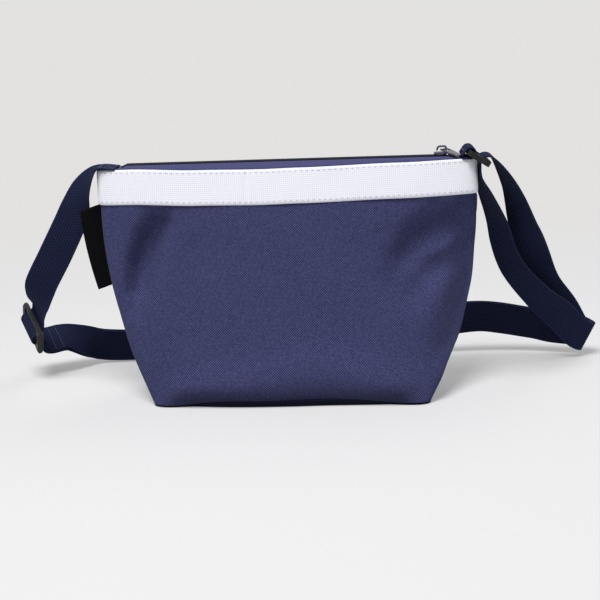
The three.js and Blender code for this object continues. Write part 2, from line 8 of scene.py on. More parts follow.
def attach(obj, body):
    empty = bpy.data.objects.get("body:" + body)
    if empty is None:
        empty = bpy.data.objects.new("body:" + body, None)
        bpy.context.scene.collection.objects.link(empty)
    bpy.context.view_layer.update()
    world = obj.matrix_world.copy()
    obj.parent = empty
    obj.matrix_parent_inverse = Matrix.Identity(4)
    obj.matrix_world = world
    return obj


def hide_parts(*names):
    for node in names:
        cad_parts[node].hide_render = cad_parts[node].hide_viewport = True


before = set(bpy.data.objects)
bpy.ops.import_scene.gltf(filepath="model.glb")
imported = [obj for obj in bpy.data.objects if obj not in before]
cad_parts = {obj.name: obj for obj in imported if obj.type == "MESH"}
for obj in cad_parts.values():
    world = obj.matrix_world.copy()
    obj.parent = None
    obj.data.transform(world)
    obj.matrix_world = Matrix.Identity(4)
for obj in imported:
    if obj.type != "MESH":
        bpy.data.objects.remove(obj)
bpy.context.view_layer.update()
scene = bpy.context.scene
scene.view_settings.view_transform = "Standard"
mm = 0.001
print("frame: %d nodes" % len(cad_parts))


def placed(name, data):
    thing = bpy.data.objects.new(name, data)
    scene.collection.objects.link(thing)
    return thing


# view, floor and light

photoView = {
    "target": (7.209, 0.0, 69.32),      # mm
    "distance": 950.0,
    "elevation": 13.0,
    "yaw": -2.672,
    "roll": -2.025,
    "focalPixels": 1286.17,
    "imagePixels": 600,
}


def placeCamera(view):
    tilt, yaw, roll = (math.radians(view[key]) for key in ("elevation", "yaw", "roll"))
    forward = Vector((math.sin(yaw) * math.cos(tilt), math.cos(yaw) * math.cos(tilt),
                      -math.sin(tilt)))
    level = forward.cross(Vector((0, 0, 1))).normalized()
    upright = level.cross(forward)
    right = level * math.cos(roll) + upright * math.sin(roll)
    up = upright * math.cos(roll) - level * math.sin(roll)
    lens = bpy.data.cameras.new("photoCamera")
    lens.sensor_width = 36
    lens.lens = lens.sensor_width * view["focalPixels"] / view["imagePixels"]
    lens.clip_start = 0.01
    camera = placed("photoCamera", lens)
    spot = (Vector(view["target"]) - forward * view["distance"]) * mm
    turn = Matrix((right, up, -forward)).transposed().to_4x4()
    camera.matrix_world = Matrix.Translation(spot) @ turn
    scene.camera = camera


studio = {
    "worldLight": 0.15,
    "backdrop": (0.765, 0.757, 0.742),
    "lamps": [      # name, place, aim, size, power
        ("keyAbove", (-0.5, -1.2, 2.8), (0.0, 0.0, 0.08), 1.5, 97.0),
        ("fillRight", (1.4, -1.8, 0.9), (0.0, 0.0, 0.1), 1.5, 3.0),
        ("rimBackRight", (0.8, 1.1, 1.8), (0.0, 0.05, 0.0), 1.5, 8.0),
    ],
    "floorHalf": 8.0,
    "floorTop": -0.0002,                # just under the object
    "floorColour": (0.705, 0.705, 0.71),
    "floorGlow": 0.3,                   # share of the backdrop's even tone near the object
    "glowNear": (0.92, 0.92, 0.93),
    "floorFades": (0.40, 0.90),         # the floor turns into the backdrop this far out
    "toneFrom": 0.20,
}


def placeLamps(setup):
    for name, place, aim, size, power in setup["lamps"]:
        data = bpy.data.lights.new(name, "AREA")
        data.shape = "DISK"
        data.size = size
        data.energy = power
        lamp = placed(name, data)
        lamp.location = place
        lamp.rotation_euler = (Vector(aim) - Vector(place)).to_track_quat("-Z", "Y").to_euler()


# shader helpers

def operator(operation, swapped=False):
    def apply(self, other):
        pair = (other, self) if swapped else (self, other)
        return self.tree.add("ShaderNodeMath", dict(enumerate(pair)), operation=operation)
    return apply


class Thread:       # a node output that takes part in plain sums
    def __init__(self, tree, socket):
        self.tree = tree
        self.socket = socket

    def out(self, key):
        return Thread(self.tree, self.socket.node.outputs[key])

    def math(self, operation, other=0.5):
        return operator(operation)(self, other)

    __add__ = __radd__ = operator("ADD")
    __sub__ = operator("SUBTRACT")
    __rsub__ = operator("SUBTRACT", True)
    __mul__ = __rmul__ = operator("MULTIPLY")
    __pow__ = operator("POWER")
    __mod__ = operator("FLOORED_MODULO")
    __lt__ = operator("LESS_THAN")

    def floor(self):
        return self.math("FLOOR")

    def wave(self):     # 0 at each thread's edges, 1 along its middle
        return (self.math("FRACT") * math.pi).math("SINE")


class ShaderTree:
    def __init__(self, owner):
        owner.use_nodes = True
        self.owner = owner
        self.nodes = owner.node_tree.nodes
        self.links = owner.node_tree.links
        self.nodes.clear()

    def add(self, kind, values=None, out=0, **settings):
        node = self.nodes.new(kind)
        for key, value in settings.items():
            setattr(node, key, value)
        for key, value in (values or {}).items():
            if isinstance(value, Thread):
                self.links.new(value.socket, node.inputs[key])
            elif isinstance(value, tuple) and len(value) == 3 and node.inputs[key].type == "RGBA":
                node.inputs[key].default_value = value + (1.0,)
            else:
                node.inputs[key].default_value = value
        return Thread(self, node.outputs[out]) if node.outputs else node

    def blend(self, factor, first, second):     # two colours
        return self.add("ShaderNodeMix", {0: factor, 6: first, 7: second}, 2, data_type="RGBA")

    def fade(self, value, start, end, least=0.0):       # least before start, 1 past end
        values = {"Value": value, "From Min": start, "From Max": end, "To Min": least}
        return self.add("ShaderNodeMapRange", values, interpolation_type="SMOOTHSTEP")

    def split(self, where):     # x, y and z of a place
        first = self.add("ShaderNodeSeparateXYZ", {0: where})
        return first, first.out(1), first.out(2)

    def noise(self, where, scale, detail):
        return self.add("ShaderNodeTexNoise", {"Vector": where, "Scale": scale, "Detail": detail})

    def surface(self, colour, rough, relief, gloss=0.5, more=None):
        bump = self.add("ShaderNodeBump", dict(zip(("Height", "Strength", "Distance"), relief)))
        shader = self.add("ShaderNodeBsdfPrincipled", {
            "Base Color": colour, "Roughness": rough, "Normal": bump, "Specular IOR Level": gloss,
            **(more or {})})
        self.add("ShaderNodeOutputMaterial", {"Surface": shader})
        return self.owner


def newTree(name):
    return ShaderTree(bpy.data.materials.new(name))


def cutLengths(tree):       # lengthwise and crosswise place on the cut cloth, in millimetres
    along, across, _ = tree.split(tree.add("ShaderNodeUVMap", uv_map="cut"))
    return along * (1 / mm), across * (1 / mm)


def weave(tree, warpPitch, weftPitch):      # both threads, and 1 where the warp goes under
    along, across = cutLengths(tree)
    warp, weft = along * (1 / warpPitch), across * (1 / weftPitch)
    return warp, weft, (warp.floor() + weft.floor()) % 2


def objectPlace(tree):
    return tree.add("ShaderNodeTexCoord", out="Object")


def seenRays(tree):     # 1 for rays that show the backdrop, 0 for rays that light the object
    path = tree.add("ShaderNodeLightPath", out="Is Camera Ray")
    return (path + path.out("Is Glossy Ray") + path.out("Is Transmission Ray")).math("MINIMUM", 1.0)


def placeWorld(setup):
    world = bpy.data.worlds.new("studioWorld")
    scene.world = world
    tree = ShaderTree(world)
    white = (1.0, 1.0, 1.0)
    lit, shown = (tree.add("ShaderNodeBackground", {"Color": colour, "Strength": strength})
                  for colour, strength in ((white, setup["worldLight"]), (setup["backdrop"], 1.0)))
    both = tree.add("ShaderNodeMixShader", {0: seenRays(tree), 1: lit, 2: shown})
    tree.add("ShaderNodeOutputWorld", {"Surface": both})


def placeFloor(setup):
    half = setup["floorHalf"]
    mesh = bpy.data.meshes.new("floor")
    corners = [(-half, -half), (half, -half), (half, half), (-half, half)]
    corners = [corner + (setup["floorTop"],) for corner in corners]
    mesh.from_pydata(corners, [], [(0, 1, 2, 3)])
    floor = placed("floor", mesh)
    tree = newTree("paleFloor")
    away = tree.add("ShaderNodeVectorMath", {0: objectPlace(tree)}, "Value", operation="LENGTH")
    near, far = setup["floorFades"]
    fade = tree.fade(away, near, far, setup["floorGlow"])
    paper = tree.add("ShaderNodeBsdfPrincipled", {
        "Base Color": setup["floorColour"], "Roughness": 0.9, "Specular IOR Level": 0.1})
    tone = tree.blend(tree.fade(away, setup["toneFrom"], far), setup["glowNear"], setup["backdrop"])
    shown = tree.add("ShaderNodeEmission", {"Color": tone, "Strength": 1.0})
    both = tree.add("ShaderNodeMixShader", {0: fade * seenRays(tree), 1: paper, 2: shown})
    tree.add("ShaderNodeOutputMaterial", {"Surface": both})
    mesh.materials.append(tree.owner)


placeCamera(photoView)
placeLamps(studio)
placeWorld(studio)
placeFloor(studio)
print("view: camera, lamps and floor")


# finishes

bodyCloth = {
    "warpPitch": 0.88,          # mm
    "weftPitch": 0.90,
    "warpColour": (0.112, 0.119, 0.290),
    "weftColour": (0.010, 0.012, 0.038),
    "paintedGapShadeColour": (0.008, 0.009, 0.028),
    "heather": 0.35,            # how much single threads differ
    "slubScale": 900.0,
    "patchScale": 26.0,
    "patch": 0.2,
    "patchColour": (0.060, 0.063, 0.150),
    "bump": 0.35,
    "soilAndPaintedShade": 0.62,               # painted shade: how dark the lower edge is painted where the cloth rolls under
    "paintedShadeHeight": (0.020, 0.002),       # metres, from its upper limit to its full depth
    "paintedShadeCorners": (0.096, 0.074),
    "soilAndPaintedShadeColour": (0.008, 0.009, 0.020),
}


def wovenCloth(name, cloth):
    tree = newTree(name)
    warp, weft, under = weave(tree, cloth["warpPitch"], cloth["weftPitch"])
    height = (warp.wave() * weft.wave()) ** 0.5
    crossing = tree.add("ShaderNodeCombineXYZ", {0: warp.floor(), 1: weft.floor()})
    heather = tree.add("ShaderNodeTexWhiteNoise", {"Vector": crossing}, noise_dimensions="2D")
    place = objectPlace(tree)
    slub = tree.noise(place, cloth["slubScale"], 2.0)
    patch = tree.noise(place, cloth["patchScale"], 3.0)
    tone = (under < 0.5) * (1 - cloth["heather"]) + heather * cloth["heather"]
    colour = tree.blend(tone, cloth["weftColour"], cloth["warpColour"])
    # painted shade in the gaps between threads, where the relief is low
    colour = tree.blend(height * 0.8 + slub * 0.4, cloth["paintedGapShadeColour"], colour)
    colour = tree.blend(patch * cloth["patch"], colour, cloth["patchColour"])
    x, _, z = tree.split(place)
    # painted shade: darker towards the lower edge, fading out towards the corners
    soilAndPaintedShade = tree.fade(z, *cloth["paintedShadeHeight"]) * tree.fade(x.math("ABSOLUTE"), *cloth["paintedShadeCorners"])
    colour = tree.blend(soilAndPaintedShade * cloth["soilAndPaintedShade"], colour, cloth["soilAndPaintedShadeColour"])
    relief = (height + slub * 0.6, cloth["bump"], 0.0002)
    return tree.surface(colour, 0.92 - height * 0.14, relief, 0.08,
                        {"Sheen Weight": 0.03, "Sheen Roughness": 0.5})


strapWebbing = {
    "ribs": 12,
    "width": 25.0,
    "pickPitch": 2.4,
    "topColour": (0.0190, 0.0240, 0.066),
    "grooveColour": (0.0008, 0.0011, 0.004),
    "selvedge": (11.2, 12.1),       # from the middle, where the paler edge begins and is full
    "selvedgeColour": (0.024, 0.029, 0.079),
    "shade": 0.45,                  # painted shade: how much darker the run behind the pouch is painted
    "shadeFrom": (0.070, 0.089),    # metres back, where it begins and is full
    "fibreScale": 1500.0,
    "bump": 0.5,
}


def ribbedWebbing(name, web):
    tree = newTree(name)
    along, across = cutLengths(tree)
    rib = across * (web["ribs"] / web["width"])
    shift = (rib.floor() % 2) * 0.5
    pick = (along * (1 / web["pickPitch"]) + shift).wave()
    crown = rib.wave() ** 0.6
    place = objectPlace(tree)
    fibre = tree.noise(place, web["fibreScale"], 2.0)
    height = crown * (0.3 + pick * 0.7)
    colour = tree.blend(height * 0.85 + fibre * 0.3, web["grooveColour"], web["topColour"])
    edge = tree.fade((across - web["width"] / 2).math("ABSOLUTE"), *web["selvedge"])
    colour = tree.blend(edge * 0.5, colour, web["selvedgeColour"])
    # painted shade on the run behind the pouch, where the pouch would shade it
    behind = tree.fade(tree.split(place)[1], *web["shadeFrom"])
    colour = tree.blend(behind * web["shade"], colour, web["grooveColour"])
    relief = (height + fibre * 0.25, web["bump"], 0.0003)
    return tree.surface(colour, 0.86 - pick * 0.12, relief, 0.05)


bandWebbing = {
    "pitch": 1.45,
    "threadColour": (0.92, 0.925, 0.975),
    "paintedGapShadeColour": (0.62, 0.63, 0.73),
    "soilAndPaintedShadeColour": (0.80, 0.80, 0.88),
    "soilAndPaintedShade": 0.10,
    "soilScale": 35.0,
    "fibreScale": 1300.0,
    "bump": 0.35,
}


def griddedWebbing(name, web):
    tree = newTree(name)
    bars, rows, raised = weave(tree, web["pitch"], web["pitch"])
    fill = (bars.wave() * rows.wave()) ** 0.5
    place = objectPlace(tree)
    fibre = tree.noise(place, web["fibreScale"], 2.0)
    soilAndPaintedShade = tree.noise(place, web["soilScale"], 3.0)
    height = fill * 0.65 + raised * 0.35
    # painted shade in the gaps between the band's threads, where the relief is low
    colour = tree.blend(fill * 0.75 + fibre * 0.4, web["paintedGapShadeColour"], web["threadColour"])
    colour = tree.blend(soilAndPaintedShade * web["soilAndPaintedShade"], colour, web["soilAndPaintedShadeColour"])
    relief = (height + fibre * 0.2, web["bump"], 0.00025)
    return tree.surface(colour, 0.9 - fill * 0.08, relief, 0.3)


plainCloths = {
    "zipTapeCloth": {"pitch": 0.6, "over": (0.085, 0.087, 0.200), "under": (0.036, 0.038, 0.100),
                     "sewnEdge": 1.3, "sewnColour": (0.006, 0.006, 0.012)},
    "blackCloth": {"pitch": 0.5, "over": (0.006, 0.006, 0.007), "under": (0.002, 0.002, 0.0025)},
    "baseCloth": {"pitch": 0.8, "over": (0.009, 0.010, 0.024), "under": (0.003, 0.0035, 0.009)},
}


def plainCloth(name, cloth):
    tree = newTree(name)
    warp, weft, under = weave(tree, cloth["pitch"], cloth["pitch"])
    height = (under < 0.5) * warp.wave() + under * weft.wave()
    fibre = tree.noise(objectPlace(tree), 1400.0, 2.0)
    colour = tree.blend(height * 0.8 + fibre * 0.3, cloth["under"], cloth["over"])
    if "sewnEdge" in cloth:     # dark thread along the edge
        edge = cutLengths(tree)[1] < cloth["sewnEdge"]
        colour = tree.blend(edge, colour, cloth["sewnColour"])
    return tree.surface(colour, 0.9 - height * 0.1, (height + fibre * 0.3, 0.3, 0.0002), 0.04)


bindingTape = {"ribScale": 900.0, "top": (0.018, 0.021, 0.060), "groove": (0.004, 0.005, 0.016)}


def bindingCloth(name, tape):       # inner tape, woven on the node's own place
    tree = newTree(name)
    place = objectPlace(tree)
    x, y, z = tree.split(place)
    scale = tape["ribScale"]
    ribs = (z * scale).wave() * 0.5 + ((x + y) * scale).wave() * 0.5
    fibre = tree.noise(place, 1200.0, 2.0)
    colour = tree.blend(ribs * 0.7 + fibre * 0.4, tape["groove"], tape["top"])
    return tree.surface(colour, 0.9 - ribs * 0.1, (ribs, 0.3, 0.0002))


hardFinishes = {        # colour, worn colour, roughness, metal, gloss, grain and its bump
    "mouldedPlastic": ((0.01, 0.0105, 0.0115), (0.028, 0.029, 0.030), 0.4, 0.0, 0.22, 1800.0, 0.12),
    "sliderMetal": ((0.075, 0.072, 0.115), (0.20, 0.19, 0.23), 0.36, 0.65, 0.4, 2600.0, 0.06),
    "pullMetal": ((0.125, 0.118, 0.138), (0.30, 0.285, 0.30), 0.34, 0.6, 0.4, 2600.0, 0.05),
    "toothNylon": ((0.006, 0.006, 0.012), (0.016, 0.016, 0.024), 0.42, 0.0, 0.1, 3000.0, 0.08),
}


def hardFinish(name, finish):
    colour, worn, rough, metal, gloss, scale, bump = finish
    tree = newTree(name)
    place = objectPlace(tree)
    grain = tree.noise(place, scale, 2.0)
    scuff = tree.noise(place, scale / 12, 4.0)
    patch = tree.add("ShaderNodeMapRange", {"Value": scuff, "From Min": 0.52, "From Max": 0.75})
    colour = tree.blend(patch * 0.35, colour, worn)
    return tree.surface(colour, rough + grain * 0.16 - scuff * 0.06, (grain, bump, 0.0001), gloss,
                        {"Metallic": metal})


threads = {
    # white thread of the band's stitches, painted grey for the shade in its stitch holes
    "whiteThread": ((0.62, 0.63, 0.73), (0.30, 0.31, 0.40)),
    "paleThread": ((0.120, 0.130, 0.210), (0.040, 0.046, 0.090)),
}


def threadFinish(name, thread):
    tree = newTree(name)
    light, dark = thread
    x, y, z = tree.split(objectPlace(tree))
    ply = ((x + y + z) * 2200.0).wave()
    colour = tree.blend(ply, dark, light)
    return tree.surface(colour, 0.8 - ply * 0.1, (ply, 0.4, 0.0001))


finishes = {"bodyCloth": wovenCloth("bodyCloth", bodyCloth),
            "strapWebbing": ribbedWebbing("strapWebbing", strapWebbing),
            "bandWebbing": griddedWebbing("bandWebbing", bandWebbing),
            "bindingCloth": bindingCloth("bindingCloth", bindingTape)}
for made, named in ((plainCloth, plainCloths), (hardFinish, hardFinishes), (threadFinish, threads)):
    finishes.update({name: made(name, values) for name, values in named.items()})
print("finishes: %d" % len(finishes))


# mesh helpers

def closedPiece(name, points, faces, cuts, finish):     # one closed body, faces turned outwards
    volume = 0.0
    for face in faces:
        a = points[face[0]]
        for b, c in zip(face[1:-1], face[2:]):
            volume += a.dot(points[b].cross(points[c]))
    if volume < 0:
        faces = [tuple(reversed(face)) for face in faces]
    mesh = bpy.data.meshes.new(name)
    mesh.from_pydata(points, [], faces)
    layer = mesh.uv_layers.new(name="cut")
    for loop in mesh.loops:
        layer.data[loop.index].uv = cuts[loop.vertex_index]
    mesh.materials.append(finishes[finish])
    mesh.shade_smooth()
    return placed(name, mesh)


def declare(piece, body, node):
    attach(piece, body)
    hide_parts(node)
    return piece


def gridNormals(rows):
    normals = []
    for j, row in enumerate(rows):
        below, above = rows[max(j - 1, 0)], rows[min(j + 1, len(rows) - 1)]
        line = []
        for i in range(len(row)):
            across = row[min(i + 1, len(row) - 1)] - row[max(i - 1, 0)]
            line.append(across.cross(above[i] - below[i]).normalized())
        normals.append(line)
    return normals


def thickSheet(name, rows, cuts, thickness, finish):       # rows of outer points, given in mm
    normals = gridNormals(rows)
    tall, wide = len(rows), len(rows[0])
    points, flat = [], []
    for depth in (0.0, thickness):
        for j in range(tall):
            for i in range(wide):
                points.append((rows[j][i] - normals[j][i] * depth) * mm)
                flat.append((cuts[j][i][0] * mm, cuts[j][i][1] * mm))
    under = tall * wide
    at = [[j * wide + i for i in range(wide)] for j in range(tall)]
    faces = []
    for low, high in zip(at, at[1:]):
        for i in range(wide - 1):
            quad = (low[i], low[i + 1], high[i + 1], high[i])
            faces.append(quad)
            faces.append(tuple(under + k for k in reversed(quad)))
    rim = at[0] + [line[-1] for line in at[1:]]
    rim += at[-1][-2::-1] + [line[0] for line in at[-2:0:-1]]
    for a, b in zip(rim, rim[1:] + rim[:1]):
        faces.append((b, a, under + a, under + b))
    return closedPiece(name, points, faces, flat, finish)


def arcLengths(line):
    total = [0.0]
    for a, b in zip(line, line[1:]):
        total.append(total[-1] + (b - a).length)
    return total


def evenLine(line, count):      # the same line with its points evenly spaced
    lengths = arcLengths(line)
    result, k = [], 0
    for i in range(count + 1):
        want = lengths[-1] * i / count
        while k < len(line) - 2 and lengths[k + 1] < want:
            k += 1
        span = lengths[k + 1] - lengths[k]
        part = (want - lengths[k]) / span if span else 0.0
        result.append(line[k].lerp(line[k + 1], part))
    return result


def shares(count):      # from 0 to 1 in even steps
    return [k / count for k in range(count + 1)]


def smoothStep(low, high, value):
    t = min(1.0, max(0.0, (value - low) / (high - low)))
    return t * t * (3 - 2 * t)


def onKnots(knots, x):      # a smooth line through (x, value) pairs
    for (x0, v0), (x1, v1) in zip(knots, knots[1:]):
        if x <= x1:
            return v0 + (v1 - v0) * smoothStep(x0, x1, x)
    return knots[-1][1]


# pouch body

pouch = {
    "topHalfWidth": 135.0,
    "baseHalfWidth": 98.5,
    "baseHalfDepth": 36.5,
    "mouthHalfDepth": 12.5,
    "height": 170.0,
    "taperHeight": 140.0,
    "square": (3.2, 3.8, 1.8, 9.0),     # of the outline: least, and more at base, mouth and foot
    "footFade": 9.0,
    "cloth": 1.2,
    "foot": 1.5,
    "seamGap": 0.15,
    "columns": 190,
    "rows": 104,
    "rowSpread": 1.12,          # rows lie closer at the foot
    "wallSteps": 240,           # points on a line before they are spaced evenly
    "rollHeight": [(-98, 10.0), (-60, 16.0), (30, 24.0), (98, 12.0)],      # x, top of the roll
    "rollIn": 10.0,             # the lower edge is rolled under
    "rollOut": 5.0,             # the cloth above stands out over it
    "baseBulge": 9.5,           # and the base's long edges bow out
    "rollRamp": 30.0,           # the roll starts at the corners and is full this far in
    "mouthRise": [(-136, 0.4), (-111, 0.7), (-61, -1.0), (-18, -1.6), (11, -1.2), (80, 0.2),
                  (136, 1.4)],  # x, how far the top edge waves
    "sides": {                  # z, how far each side stands out of the even outline
        -1: [(0, 1.6), (30, 2.0), (70, 0.4), (170, 0.0)],
        1: [(0, 1.8), (20, 3.6), (45, 6.6), (75, 5.6), (110, 3.4), (145, 1.6), (170, 1.0)],
    },
    "rightRounder": 1.7,        # the right side turns away more softly, its seam further back
    "seamBack": [(0, 0.0), (16, 0.0), (62, 10.0), (106, 9.0), (142, 0.0), (170, 0.0)],
    "cornerForward": 7.0,       # the right lower corner stands nearer
    "seamTuck": (0.9, 0.006),   # depth and share of the width turned in at each seam
    "seamPlain": 0.035,         # share of the width beside a seam where creases fade
    "waver": 0.35,              # slight unevenness of the whole cloth
    "cut": (0.31, 0.176),       # each panel's cloth before it is sewn, m
    "creases": {                # width, then x, z, depth along each one
        -1: [
            (9.0, [(-92, 131, 12), (-99, 118, 21), (-105, 103, 20), (-109, 84, 12), (-111, 72, 4)]),
            (11.0, [(142, 141, 22), (131, 137, 23), (112, 126, 20), (97, 117, 17), (85, 102, 12),
                    (77, 88, 4)]),
            (11.0, [(124, 101, 7), (104, 92, 12), (90, 78, 6)]),
            (13.0, [(140, 126, 11), (130, 82, 15), (116, 40, 10)]),
            (12.0, [(-72, 112, 2.4), (-70, 50, 1.5)]),
            (20.0, [(-48, 108, 2), (-28, 76, 1)]),
        ],
        1: [
            (10.0, [(120, 138, 4.4), (66, 96, 2.6)]),
            (9.0, [(-124, 128, 4.0), (-84, 88, 2.4)]),
            (22.0, [(-20, 60, 1.6), (30, 96, 1.0)]),
        ],
    },
}


def mouthRise(x):
    return onKnots(pouch["mouthRise"], x)


def halfWidthAt(z):
    lift = max(0.0, 1 - z / pouch["taperHeight"])
    return pouch["topHalfWidth"] - (pouch["topHalfWidth"] - pouch["baseHalfWidth"]) * lift * lift


def halfDepthAt(z):
    rise = max(0.0, z / pouch["height"]) ** 1.25
    return pouch["mouthHalfDepth"] + (pouch["baseHalfDepth"] - pouch["mouthHalfDepth"]) * (1 - rise)


def squarenessAt(z, toRight=False):
    rise = z / pouch["height"]
    least, base, mouth, foot = pouch["square"]
    square = least + base * (1 - rise) ** 2 + mouth * rise ** 4
    square += foot * math.exp(-z / pouch["footFade"])
    if toRight:
        square -= pouch["rightRounder"] * smoothStep(150, 115, z) * smoothStep(8, 40, z)
    return square


def seamShift(share, z):        # how far the right side stands back, or forward at its lower corner
    corner = pouch["cornerForward"] * smoothStep(0.2, 1.0, share) * max(0.0, 1 - z / 130) ** 1.5
    return onKnots(pouch["seamBack"], z) * smoothStep(0.83, 1.0, share) - corner


def wallPoint(angle, z, offset=0.0):
    c, s = math.cos(angle), math.sin(angle)
    n = squarenessAt(z, c > 0)
    reach = (abs(c) ** n + abs(s) ** n) ** (-1 / n)
    width, depth = halfWidthAt(z), halfDepthAt(z)
    point = Vector(((width + offset) * c * reach, (depth + offset) * s * reach, z))
    side = 1 if point.x > 0 else -1
    share = abs(point.x) / width
    point.y += seamShift(side * share, z)
    point.x += side * onKnots(pouch["sides"][side], z) * smoothStep(0.3, 1.0, share)
    return point


def wallLine(side, z, count, offset=0.0):       # from the left seam to the right one
    dense = []
    for share in shares(pouch["wallSteps"]):
        point = wallPoint(side * math.pi * (1 - share), z, offset)
        point.y += side * pouch["seamGap"]
        dense.append(point)
    return evenLine(dense, count)


def creaseDepth(side, x, z):
    total = 0.0
    for wide, stops in pouch["creases"][side]:
        here = 0.0
        for (x0, z0, d0), (x1, z1, d1) in zip(stops, stops[1:]):
            run = Vector((x1 - x0, z1 - z0))
            t = ((x - x0) * run.x + (z - z0) * run.y) / run.length_squared
            t = min(1.0, max(0.0, t))
            away = math.hypot(x - x0 - run.x * t, z - z0 - run.y * t)
            here = max(here, (d0 + (d1 - d0) * t) * math.exp(-(away / wide) ** 2))
        total += here
    return total * smoothStep(151, 143, z)


def rollUnder(x, z):        # how far the lower edge turns in under the pouch
    corner = pouch["baseHalfWidth"] - abs(x)
    height = onKnots(pouch["rollHeight"], x)
    low = max(0.0, 1 - z / height)
    under = pouch["rollIn"] * (1 - math.sqrt(1 - low * low))
    over = pouch["rollOut"] * math.exp(-(z / height - 1.1) ** 2 / 0.5)
    bow = pouch["baseBulge"] * max(0.0, 1 - (x / pouch["baseHalfWidth"]) ** 2) * math.exp(-z / 40)
    return (under - over) * smoothStep(0.0, pouch["rollRamp"], corner) - bow


def panelRows(side):
    rows = []
    for share in shares(pouch["rows"]):
        z = pouch["foot"] + (pouch["height"] - pouch["foot"]) * share ** pouch["rowSpread"]
        rows.append(wallLine(side, z, pouch["columns"]))
    normals = gridNormals(rows)
    cuts = panelCuts(rows)
    tuck, tuckWide = pouch["seamTuck"]
    for j, row in enumerate(rows):
        for i, point in enumerate(row):
            x, z = point.x, point.z
            seam = min(i, pouch["columns"] - i) / pouch["columns"]
            inward = creaseDepth(side, x, z) * smoothStep(0.0, pouch["seamPlain"], seam)
            inward += tuck * math.exp(-(seam / tuckWide) ** 2)
            waver = math.sin(x * 0.083 + z * 0.031) * math.sin(z * 0.067 + 1.3)
            inward += pouch["waver"] * waver * smoothStep(0, 0.1, seam)
            back = seamShift(x / halfWidthAt(z), z)
            room = max(0.5, 0.8 * abs(point.y - back))      # creases stop short of the other panel
            inward *= abs(normals[j][i].y)
            inward /= (1 + abs(inward / room) ** 4) ** 0.25
            row[i].y -= side * (inward + rollUnder(x, z))
            row[i].z += mouthRise(x) * smoothStep(95, 150, z)
    return rows, cuts


def panelCuts(rows):
    middle = len(rows[0]) // 2
    heights = arcLengths([row[middle] for row in rows])
    cuts = []
    for row, height in zip(rows, heights):
        lengths = arcLengths(row)
        cuts.append([(length - lengths[middle], height) for length in lengths])
    return cuts


def bagSheet(name, node, rows, thickness, finish, cuts=None):
    piece = thickSheet(name, rows, cuts or panelCuts(rows), thickness, finish)
    return declare(piece, "bag", node)


def turnedOut(side, *grids):        # so that the outer face stays outside
    return [[line[::-1] for line in grid] if side > 0 else grid for grid in grids]


def makePanel(name, side, node):
    rows, cuts = turnedOut(side, *panelRows(side))
    piece = bagSheet(name, node, rows, pouch["cloth"], "bodyCloth", cuts)
    return piece, clothArea(rows)


def clothArea(rows):
    area = 0.0
    for low, high in zip(rows, rows[1:]):
        for i in range(len(low) - 1):
            area += ((low[i + 1] - low[i]).cross(high[i] - low[i])).length / 2
            area += ((high[i + 1] - high[i]).cross(high[i + 1] - low[i + 1])).length / 2
    return area * mm * mm


frontCloth, frontArea = makePanel("frontCloth", -1, "front_panel")
backCloth, backArea = makePanel("backCloth", 1, "back_panel")
print("pouch: front and back cloth")


# base

baseCloth = {
    "proud": 1.2,
    "thickness": 1.4,
    "rings": 12,
    "spokes": 240,
    "lip": 4.6,                 # how far it is turned up round the lower edge
    "lipRamp": 62.0,            # and how far from the corners that is full
    "lipHeights": (0.3, 0.5),   # its start, and its end where it isn't turned up
    "lipTuck": 0.2,
    "lipInside": -0.6,
    "rimShares": (0.985, 0.97), # of the outline, below and above
    "rimRows": 5,
    "cut": (0.096, 0.211),      # the cloth before it is sewn, m
}


def baseEdge(angle, z, offset):
    wallZ = max(z, pouch["foot"])
    edge = wallPoint(angle, wallZ, offset)
    edge.y -= rollUnder(edge.x, wallZ) * max(-1.0, min(1.0, edge.y / 20))
    edge.z = z
    return edge


def baseRing(base, share, z):
    ring = []
    for k in range(base["spokes"]):
        edge = baseEdge(2 * math.pi * k / base["spokes"], z, 0.0)
        ring.append(Vector((edge.x * share, edge.y * share, z)))
    return ring


def baseRim(base, t, offset):       # the base cloth turned up round the lower edge
    rim = []
    for k in range(base["spokes"]):
        angle = 2 * math.pi * k / base["spokes"]
        corner = pouch["baseHalfWidth"] - abs(baseEdge(angle, 0.0, 0.0).x)
        full = smoothStep(2.0, base["lipRamp"], corner)
        low, least = base["lipHeights"]
        high = least + base["lip"] * full
        proud = offset if offset < 0 else offset * full - base["lipTuck"] * (1 - full)
        rim.append(baseEdge(angle, low + (high - low) * t, proud))
    return rim


def makeBase(base):
    points, cuts, faces = [], [], []
    spokes, rings, steps = base["spokes"], base["rings"], base["rimRows"]
    lines = [baseRing(base, r / rings, 0.0) for r in range(1, rings)]
    below, above = base["rimShares"]
    lines.append(baseRing(base, below, 0.0))
    for j in range(steps):
        t = j / (steps - 1)
        lines.append(baseRim(base, t, base["proud"] * (1 - 0.3 * t ** 4)))
    lines.append(baseRim(base, 1.0, base["lipInside"]))
    lines.append(baseRing(base, above, base["thickness"]))
    lines += [baseRing(base, r / rings, base["thickness"]) for r in range(rings - 1, 0, -1)]
    for line in lines:
        for point in line:
            points.append(point * mm)
            cuts.append((point.x * mm, (point.y + math.copysign(point.z, point.y)) * mm))
    for start in range(0, (len(lines) - 1) * spokes, spokes):
        for k in range(spokes):
            a, b = start + k, start + (k + 1) % spokes
            faces.append((a, b, b + spokes, a + spokes))
    for start, z in ((0, 0.0), ((len(lines) - 1) * spokes, base["thickness"])):
        centre = len(points)
        points.append(Vector((0, 0, z * mm)))
        cuts.append((0.0, 0.0))
        for k in range(spokes):
            n = (k + 1) % spokes
            pair = (start + n, start + k) if start == 0 else (start + k, start + n)
            faces.append(pair + (centre,))
    piece = closedPiece("baseCloth", points, faces, cuts, "baseCloth")
    return declare(piece, "bag", "bottom_panel")


basePiece = makeBase(baseCloth)

